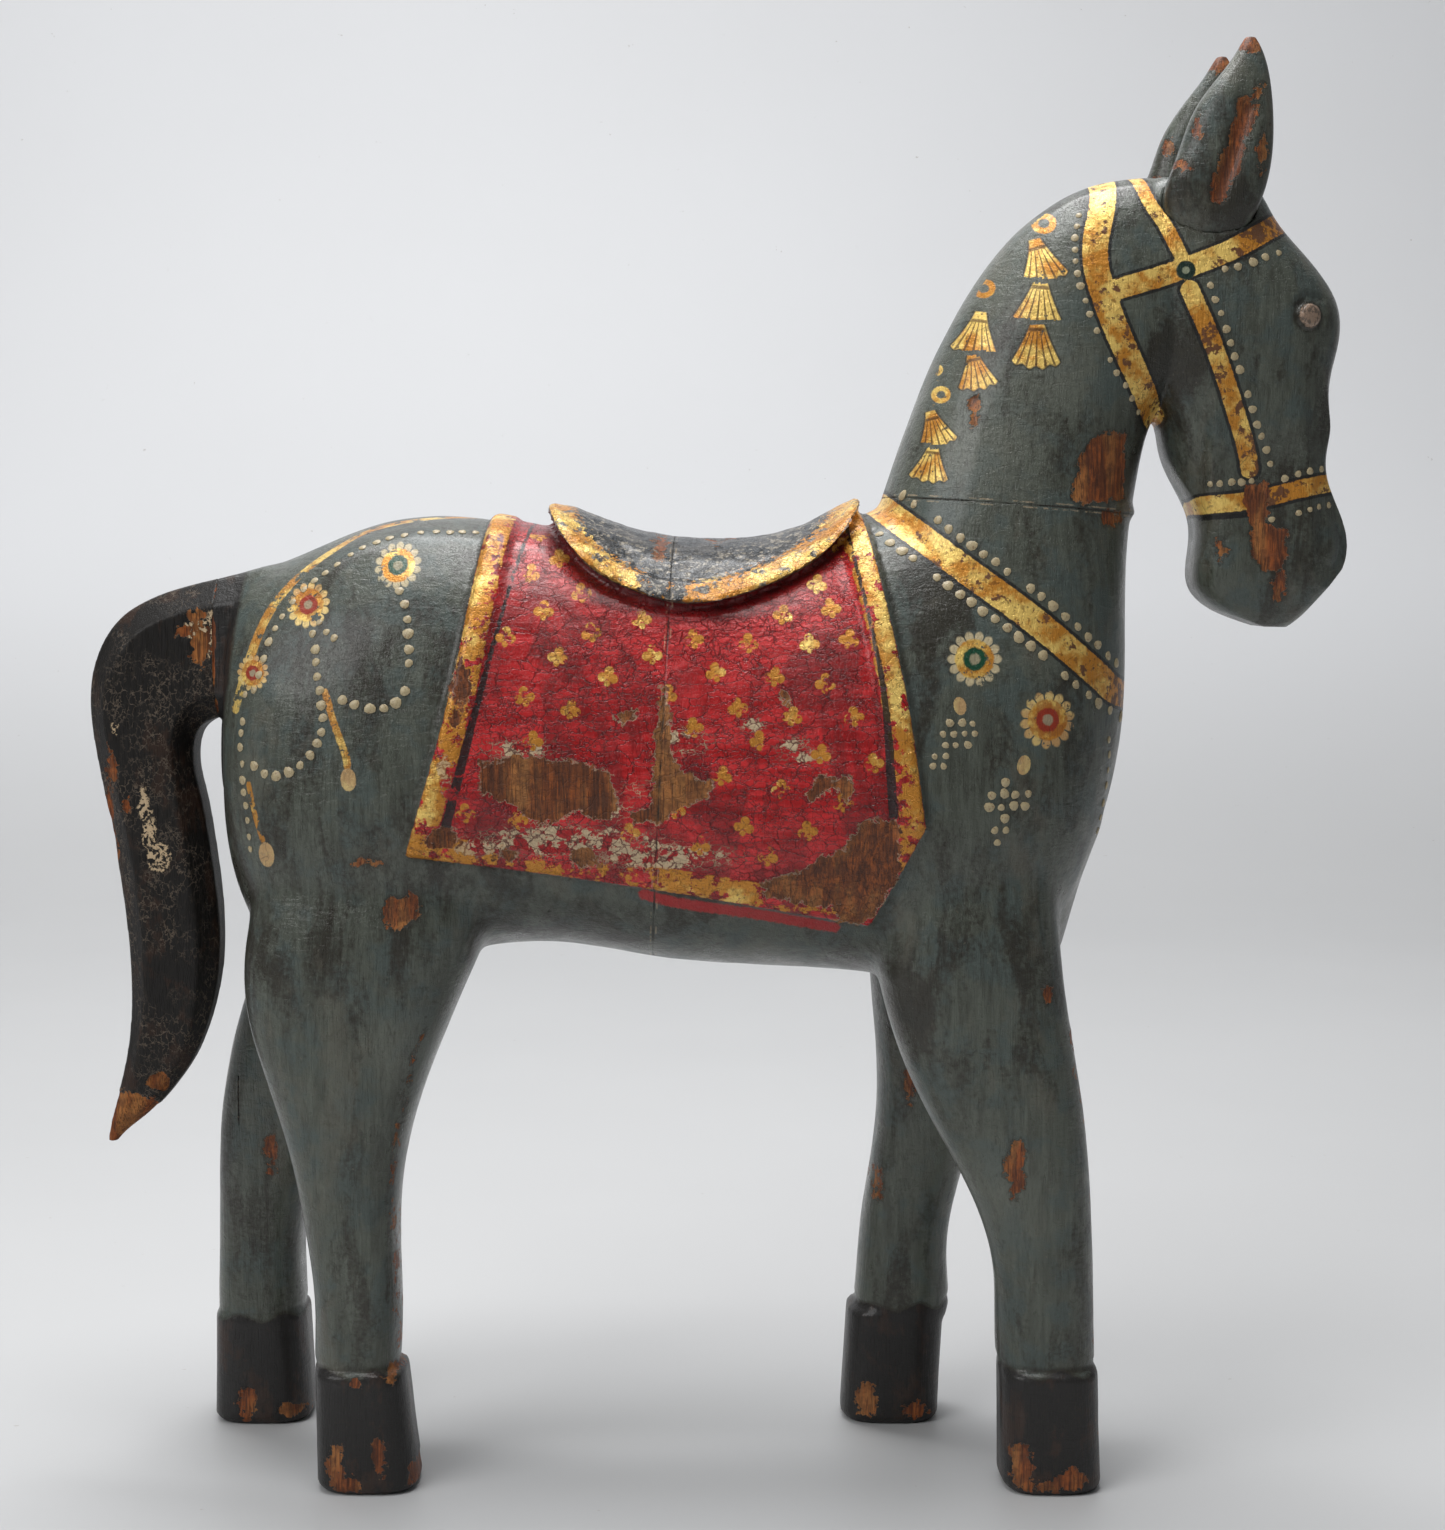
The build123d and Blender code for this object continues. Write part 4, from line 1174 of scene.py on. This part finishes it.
    def flowers(self):
        """Daisies: cream or gilt petals round a gilt disc with a green or a red heart."""
        green, red = self.is_kind(FLOWER_GREEN), self.is_kind(FLOWER_RED)
        flower = self.within_motif(FLOWER_GREEN, FLOWER_RED)
        turn = self.maths("ARCTAN2", self.up, self.across)
        scallop = self.size(self.maths("COSINE", self.times(turn, 7.0)))
        edge = self.add(0.82, self.times(scallop, 0.16))
        kept = self.below(self.bays, 0.61, 0.03)
        whole = self.both(flower, kept, self.above(self.take(edge, self.motif_out), 0.0, 0.05))
        out = self.wander(self.motif_out, small=0.08)
        petals = self.both(whole, self.above(self.motif_out, 0.68, 0.04), self.above(scallop, 0.22, 0.12))
        disc = self.both(whole, self.below(out, 0.70, 0.04))
        wash = self.both(disc, red, self.above(self.noise(0.6, 2.0), 0.46, 0.08))
        heart = self.both(flower, self.below(out, 0.42, 0.04))
        pupil = self.both(flower, self.below(out, 0.20, 0.04))
        for mask, colour, rough, metal in (
            (self.both(petals, green), CREAM, 0.42, 0.0),
            (self.both(petals, red), self.blend(0.45, self.leaf, CREAM), 0.42, 0.2),
            (disc, self.leaf, 0.34, 0.4),
            (self.times(wash, 0.7), AMBER, 0.4, 0.2),
            (self.both(heart, green), GREEN, 0.32, 0.0),
            (self.both(heart, red), ORANGE_RED, 0.36, 0.0),
            (self.times(pupil, 0.85), self.blend(0.4, CREAM, SLATE_LIGHT), 0.4, 0.0),
        ):
            self.lay(mask, colour, rough, metal)
        drop = self.both(self.within_motif(DROP), self.disc(0.0, 0.0, 0.9, 1.45))
        self.lay(self.times(drop, 0.9), self.blend(0.55, self.leaf, CREAM), 0.42, 0.2)

    def rosette(self):
        round_spot = self.below(self.wander(self.motif_out, small=0.12), 0.86, 0.08)
        spot = self.both(self.within_motif(ROSETTE), round_spot)
        self.lay(spot, ROSETTE_GREEN, 0.3, 0.0)
        self.lay(self.both(spot, self.below(self.motif_out, 0.34, 0.06), 0.8), ROSETTE_PALE, 0.4)

    def tassels(self):
        """A ring, then pleated bells one under another, drawn in gold with dark strokes."""
        ring = self.both(self.disc(0.0, 0.05, 0.8), self.flip(self.disc(0.0, 0.05, 0.36)))
        kept = self.below(self.leaf_wear, 0.60, 0.03)
        self.lay(self.both(self.within_motif(RING), ring, kept), self.leaf, 0.36, 0.35)
        bell = self.within_motif(TIER)
        fallen = self.maths("MAXIMUM", self.times(self.take(0.92, self.up), 0.6), 0.0)
        flare = self.maths("POWER", fallen, 1.35)
        half = self.add(self.times(flare, 0.72), 0.20)
        droop = self.times(self.times(self.across, self.across), 0.30)
        scallops = self.times(self.maths("COSINE", self.times(self.across, 13.0)), 0.06)
        hem = self.add(self.add(-0.84, droop), scallops)
        inside = self.take(half, self.size(self.across))
        over_hem = self.take(self.up, hem)
        top = self.below(self.up, 0.90, 0.04)
        shadow = self.both(bell, self.above(inside, -0.08, 0.04), self.above(over_hem, -0.08, 0.04), top)
        self.lay(self.times(shadow, 0.75), SOOT_AND_SHADE, 0.4)
        worn = self.below(self.bays, 0.63, 0.03)
        skirt = self.both(bell, self.above(inside, 0.0, 0.04), self.above(over_hem, 0.0, 0.05), top, worn)
        self.lay(skirt, self.leaf, 0.36, 0.35)
        fan = self.maths("DIVIDE", self.across, self.maths("MAXIMUM", half, 0.05))
        folds = self.above(self.maths("COSINE", self.times(fan, 17.0)), 0.66, 0.15)
        pleats = self.both(folds, self.below(self.up, 0.5, 0.1))
        neck_band = self.below(self.size(self.take(self.up, 0.52)), 0.07, 0.04)
        self.lay(self.both(skirt, self.either(pleats, neck_band), 0.8), PLEAT_BROWN, 0.5)

    def eye(self):
        uneven = self.wander(self.attribute("eye"), small=0.5)
        worn = self.above(self.teeth, 0.53, 0.04)
        colour = self.blend(self.times(worn, 0.75), EYE_PALE, EYE_WORN)
        self.lay(self.both(self.paint, self.below(uneven, 0.1, 0.2)), colour, 0.35)
        lid = self.below(self.size(self.take(uneven, 0.3)), 0.3, 0.2)
        self.lay(self.both(self.paint, lid, 0.7), SOOT_AND_SHADE, 0.4)

    def age(self):
        """Dirt and broken paint at the glue joints, and a few long hairline cracks."""
        uneven = self.add(self.seam, self.times(self.take(self.fine, 0.5), 0.5))
        kept = self.either(0.25, self.above(self.noise(0.11, 3.0, 0.6), 0.5, 0.06))
        self.lay(self.both(self.below(uneven, 0.24, 0.18), kept, 0.8), SOOT_AND_SHADE, 0.6)
        lip = self.both(self.paint, self.below(self.size(self.take(uneven, 0.62)), 0.16, 0.1))
        lip_here = self.above(self.bays, 0.54, 0.05)
        self.lay(self.both(lip, lip_here, 0.4), GESSO_CREAM, 0.6)
        hairline = self.cracks(0.09, (1.0, 1.0, 0.35), 1.0, 0.006, 0.006)
        self.lay(self.both(self.paint, hairline, self.above(self.grime, 0.5, 0.05), 0.5), SOOT_AND_SHADE, 0.5)


OLD_VARNISH = {"coat": 0.25, "coat_rough": 0.18, "specular": 0.42}


def painted_body(name):
    r = PaintedWood(name)
    r.ground()
    r.slate()
    r.tar(crackled=False)
    r.crimson_cloth()
    r.saddle_seat()
    r.gilt_straps()
    r.gilt_borders()
    r.ink_lines()
    r.clovers()
    r.flowers()
    r.age()
    return r.finish(**OLD_VARNISH)


def painted_head(name):
    r = PaintedWood(name)
    r.ground()
    r.slate()
    r.cheek_panel()
    r.gilt_straps()
    r.ink_lines()
    r.tassels()
    r.rosette()
    r.eye()
    r.age()
    return r.finish(**OLD_VARNISH)


def painted_tail(name):
    r = PaintedWood(name)
    r.ground()
    r.tar(crackled=True)
    r.age()
    return r.finish(0.05, 0.25, specular=0.28)


def cream_paint(name):
    r = Recipe(name)
    body = r.noise(0.5, 3.0)
    r.colour = r.blend(body, CREAM_DULL, CREAM)
    specks = r.above(r.noise(2.2, 3.0, 0.6), 0.60, 0.05)
    r.colour = r.blend(r.times(specks, 0.55), r.colour, GOLD_BROWN)
    r.rough = r.between(body, 0.34, 0.5)
    r.raise_by(0.12, r.noise(1.8, 3.0))
    return r.finish(0.2, 0.25)


def plain_wood(name):
    r = Recipe(name)
    r.bare_wood()
    return r.finish(0.0, 0.3)


# ---- Building the horse ----

body_material = painted_body("aged_painted_body")
head_material = painted_head("aged_painted_head")
tail_material = painted_tail("aged_black_tail")
dot_material = cream_paint("cream_brush_dots")
wood_material = plain_wood("bare_turned_wood")

HINDQUARTER = ("hindquarter_block", (BARREL_SEAM, TAIL_SEAM))
FOREHAND = ("forehand_block", (BARREL_SEAM, NECK_SEAM))
HEAD = ("neck_and_head", (NECK_SEAM,))
TAIL = ("tail", (TAIL_SEAM,))

body_net = remeshed(joined_skin((HINDQUARTER, FOREHAND, HEAD, TAIL)), BODY_VOXEL)
relaxed(body_net, 6)
softened(body_net, 24)
carve(body_net)
head_net = remeshed(joined_skin((FOREHAND, HEAD), NECK_CROPS), HEAD_VOXEL)
relaxed(head_net, 7)
shaved(head_net)
relaxed(head_net, 1)
carve(head_net)
tail_net = remeshed(joined_skin((HINDQUARTER, TAIL), TAIL_CROPS), TAIL_VOXEL)
relaxed(tail_net, 5)
carve(tail_net, tail=True)

BLOCKS = (
    ("hindquarter_skin", "hindquarter_block", body_net, ((BARREL_SEAM, -1), (TAIL_SEAM, -1)), body_material),
    ("forehand_skin", "forehand_block", body_net, ((BARREL_SEAM, 1), (NECK_SEAM, -1)), body_material),
    ("neck_and_head_skin", "neck_and_head", head_net, ((NECK_SEAM, 1),), head_material),
    ("tail_skin", "tail", tail_net, ((TAIL_SEAM, 1),), tail_material),
)
blocks = {}
for name, node, net, cuts, material in BLOCKS:
    mesh = cut_block(net, cuts, name)
    paint_fields(mesh, tail=node == "tail")
    blocks[name] = piece(mesh, name, node, material)


def ear(node, side):
    """One carved ear: a leaf with a hollow in its outer face."""
    mesh = remeshed(nodes[node].data, EAR_VOXEL)
    relaxed(mesh, 6)
    points = positions(mesh)
    out = normals(mesh)
    set_back = 0.0 if side < 0 else LEFT_EAR_SET_BACK
    x = points[:, 0] + set_back
    hollow = line_distance(x, points[:, 2], smooth_line(EAR_HOLLOW))
    outer_face = eased(out[:, 1] * side * 2.0)
    depth = -1.5 * np.exp(-((hollow / 2.4) ** 2)) * outer_face
    lobe = np.hypot(x - 108.5, points[:, 2] - 308.0)
    depth += 0.7 * np.exp(-((lobe / 4.0) ** 2)) * outer_face
    depth += 0.15 * swell(points, (7.0, 7.0, 12.0), 11)
    set_positions(mesh, points + out * depth[:, None])
    points = positions(mesh)
    count = len(points)
    unused = "cloth saddle border straps cords lines gesso black panel eye seam red"
    for name in unused.split():
        write(mesh, name, np.full(count, FAR))
    x = points[:, 0] + set_back
    streak = line_distance(x, points[:, 2], smooth_line(EAR_HOLLOW)) - 2.3
    streak = np.where(out[:, 1] * side > 0.15, streak, 9.0)
    tips = spot_distance(x, points[:, 2], EAR_CHIPS)
    write(mesh, "chips", np.minimum(streak, tips))
    write(mesh, "loss", np.zeros(count))
    # Darker towards the ear's base.
    write(mesh, "stain_and_highlight", np.exp(-((points[:, 2] - 300.0) / 9.0) ** 2))
    write(mesh, "motif", np.zeros((count, 3)))
    write(mesh, "motif_out", np.full(count, NO_MOTIF))
    write(mesh, "crest", crest(mesh))
    return piece(mesh, node + "_carved", node, head_material)


ear("right_ear", -1)
ear("left_ear", 1)

for name, node in nodes.items():
    if "dowel" in name:
        node.data.materials.clear()
        node.data.materials.append(wood_material)


# ---- Cream dots: small raised blobs of paint ----

DOT_SIDES = 9
DOT_LEVELS = (0.35, 0.75)
DOT_FLATNESS = 0.34
DOT_JITTER = 0.22
DOTS_LOST = 0.07


def spaced(points, gap):
    """Points a fixed gap apart along a smooth line."""
    line = smooth_line(points, 12)
    placed = [line[0]]
    run = 0.0
    for a, b in zip(line, line[1:]):
        length = float(np.linalg.norm(b - a))
        run += length
        if run >= gap:
            placed.append(b)
            run = 0.0
    return placed


def all_dots(chance):
    """Every dot of one side: place and radius, with a few lost."""
    dots = []
    for points, gap, radius in DOT_ROWS:
        for x, z in spaced(points, gap):
            dots.append((x, z, radius))
    for (x0, z0), rows, gap, drift, radius in DOT_GROUPS:
        for row, count in enumerate(rows):
            for k in range(count):
                dots.append((x0 + gap * (k - (count - 1) / 2) + drift * row, z0 - gap * row, radius))
    kept = []
    for x, z, radius in dots:
        if chance.random() > DOTS_LOST:
            x += chance.uniform(-DOT_JITTER, DOT_JITTER)
            z += chance.uniform(-DOT_JITTER, DOT_JITTER)
            kept.append((x, z, radius * chance.uniform(0.8, 1.15)))
    return kept


def blob(bm, place, normal, radius, turn, oval):
    """A closed, flattened blob half sunk into the paint."""
    lean = normal.to_track_quat("Z", "Y").to_matrix().to_4x4()
    stance = Matrix.Translation(place) @ lean @ Matrix.Rotation(turn, 4, "Z")
    rings = []
    for level in (-DOT_LEVELS[1], -DOT_LEVELS[0], DOT_LEVELS[0], DOT_LEVELS[1]):
        reach = math.sqrt(1.0 - level * level)
        ring = []
        for k in range(DOT_SIDES):
            angle = 2.0 * math.pi * k / DOT_SIDES
            bulge = 1.0 + 0.07 * math.sin(3.0 * angle + turn)
            corner = Vector((
                radius * oval * reach * bulge * math.cos(angle), radius * reach * bulge * math.sin(angle),
                radius * DOT_FLATNESS * level,
            ))
            ring.append(bm.verts.new(stance @ corner))
        rings.append(ring)
    bottom = bm.verts.new(stance @ Vector((0.0, 0.0, -radius * DOT_FLATNESS)))
    top = bm.verts.new(stance @ Vector((0.0, 0.0, radius * DOT_FLATNESS)))
    for k in range(DOT_SIDES):
        after = (k + 1) % DOT_SIDES
        bm.faces.new((bottom, rings[0][after], rings[0][k]))
        bm.faces.new((top, rings[-1][k], rings[-1][after]))
        for lower, upper in zip(rings, rings[1:]):
            bm.faces.new((lower[k], lower[after], upper[after], upper[k]))


def dot_pieces():
    """The dots of both sides, one piece for each block they are painted on."""
    trees = {}
    for name, block in blocks.items():
        if name != "tail_skin":
            trees[name] = BVHTree.FromObject(block, bpy.context.evaluated_depsgraph_get())
    meshes = {name: bmesh.new() for name in trees}
    for side in (-1, 1):
        chance = random.Random(41 + side)
        for x, z, radius in all_dots(chance):
            if side > 0:
                x -= drift_along(z, LEFT_DRIFT)
                z -= drift_up(x, LEFT_DRIFT)
            start = Vector((x, side * 200.0, z)) * MM
            for name, tree in trees.items():
                hit, normal = tree.ray_cast(start, Vector((0.0, -side, 0.0)), 0.2)[:2]
                if hit is None:
                    continue
                outward = normal if normal.y * side > 0 else -normal
                if outward.y * side < 0.12:
                    break
                turn, oval = chance.uniform(0.0, 6.28), chance.uniform(0.85, 1.2)
                blob(meshes[name], hit, outward, radius * MM, turn, oval)
                break
    for name, bm in meshes.items():
        dots_name = name.replace("_skin", "_dots")
        piece(to_mesh(bm, dots_name), dots_name, None, dot_material)


dot_pieces()


# ---- Floor, light and camera ----

# the sheet, in metres
SHEET_FRONT = -1.6
SHEET_TOP = 2.6
SHEET_COLUMNS = (-2.2, -0.8, 0.8, 2.2)
SWEEP_START = 0.9
SWEEP = 0.8
SWEEP_STEPS = 12


def backdrop():
    """A pale sheet: floor in front, rising in one sweep behind."""
    bm = bmesh.new()
    profile = [(SHEET_FRONT, 0.0), (0.0, 0.0), (SWEEP_START, 0.0)]
    for step in range(1, SWEEP_STEPS + 1):
        angle = math.pi / 2 * step / SWEEP_STEPS
        profile.append((SWEEP_START + SWEEP * math.sin(angle), SWEEP * (1.0 - math.cos(angle))))
    profile.append((SWEEP_START + SWEEP, SHEET_TOP))
    rows = []
    for y, z in profile:
        rows.append([bm.verts.new((x, y, z)) for x in SHEET_COLUMNS])
    for lower, upper in zip(rows, rows[1:]):
        for k in range(len(SHEET_COLUMNS) - 1):
            bm.faces.new((lower[k], lower[k + 1], upper[k + 1], upper[k]))
    mesh = to_mesh(bm, "backdrop")
    mesh.shade_smooth()
    r = Recipe("pale_sheet")
    # Painted shade: one sheet, painted darker on the floor than up the wall.
    up_the_wall = r.above(r.parts(r.place)[2], 110.0, 140.0)
    r.colour = r.blend(up_the_wall, rgb(0.52, 0.525, 0.53), rgb(0.79, 0.8, 0.82))
    r.colour = r.blend(r.times(r.noise(0.004, 3.0), 0.3), r.colour, rgb(0.7, 0.7, 0.705))
    specks = r.above(r.noise(0.12, 3.0, 0.7), 0.74, 0.02)
    r.colour = r.blend(r.times(specks, 0.4), r.colour, rgb(0.3, 0.26, 0.22))
    r.rough = 0.5
    mesh.materials.append(r.finish(0.0, 0.3, specular=0.3))
    sheet = bpy.data.objects.new("backdrop", mesh)
    bpy.context.scene.collection.objects.link(sheet)


def soft_light(name, place, aim, size, power):
    light = bpy.data.lights.new(name, "AREA")
    light.shape = "RECTANGLE"
    light.size, light.size_y = size
    light.energy = power
    lamp = bpy.data.objects.new(name, light)
    lamp.location = place
    lamp.rotation_euler = (Vector(aim) - Vector(place)).to_track_quat("-Z", "Y").to_euler()
    bpy.context.scene.collection.objects.link(lamp)


backdrop()
soft_light("overhead", (-0.05, 0.0, 1.0), (0.0, 0.0, 0.15), (0.7, 0.45), 7.5)
soft_light("front_left", (-0.9, -0.9, 1.0), (0.0, 0.0, 0.18), (0.9, 0.7), 9.0)
soft_light("back_wash", (-0.35, 0.75, 1.9), (-0.2, 1.7, 0.65), (1.4, 0.5), 21.0)

world = bpy.data.worlds.new("studio")
bpy.context.scene.world = world
world.use_nodes = True
sky = world.node_tree.nodes["Background"]
sky.inputs["Color"].default_value = rgb(0.98, 0.99, 1.0)
sky.inputs["Strength"].default_value = 0.16
bpy.context.scene.view_settings.view_transform = "Standard"

CAMERA_PLACE = (0.0011, -0.640, 0.21594)
CAMERA_PITCH = 4.24
CAMERA_LENS = 62.1
camera_data = bpy.data.cameras.new("studio_camera")
camera_data.lens = CAMERA_LENS
camera_data.sensor_width = 36.0
camera_data.clip_start = 0.01
camera = bpy.data.objects.new("studio_camera", camera_data)
camera.location = CAMERA_PLACE
camera.rotation_euler = (math.radians(90.0 - CAMERA_PITCH), 0.0, 0.0)
bpy.context.scene.collection.objects.link(camera)
bpy.context.scene.camera = camera
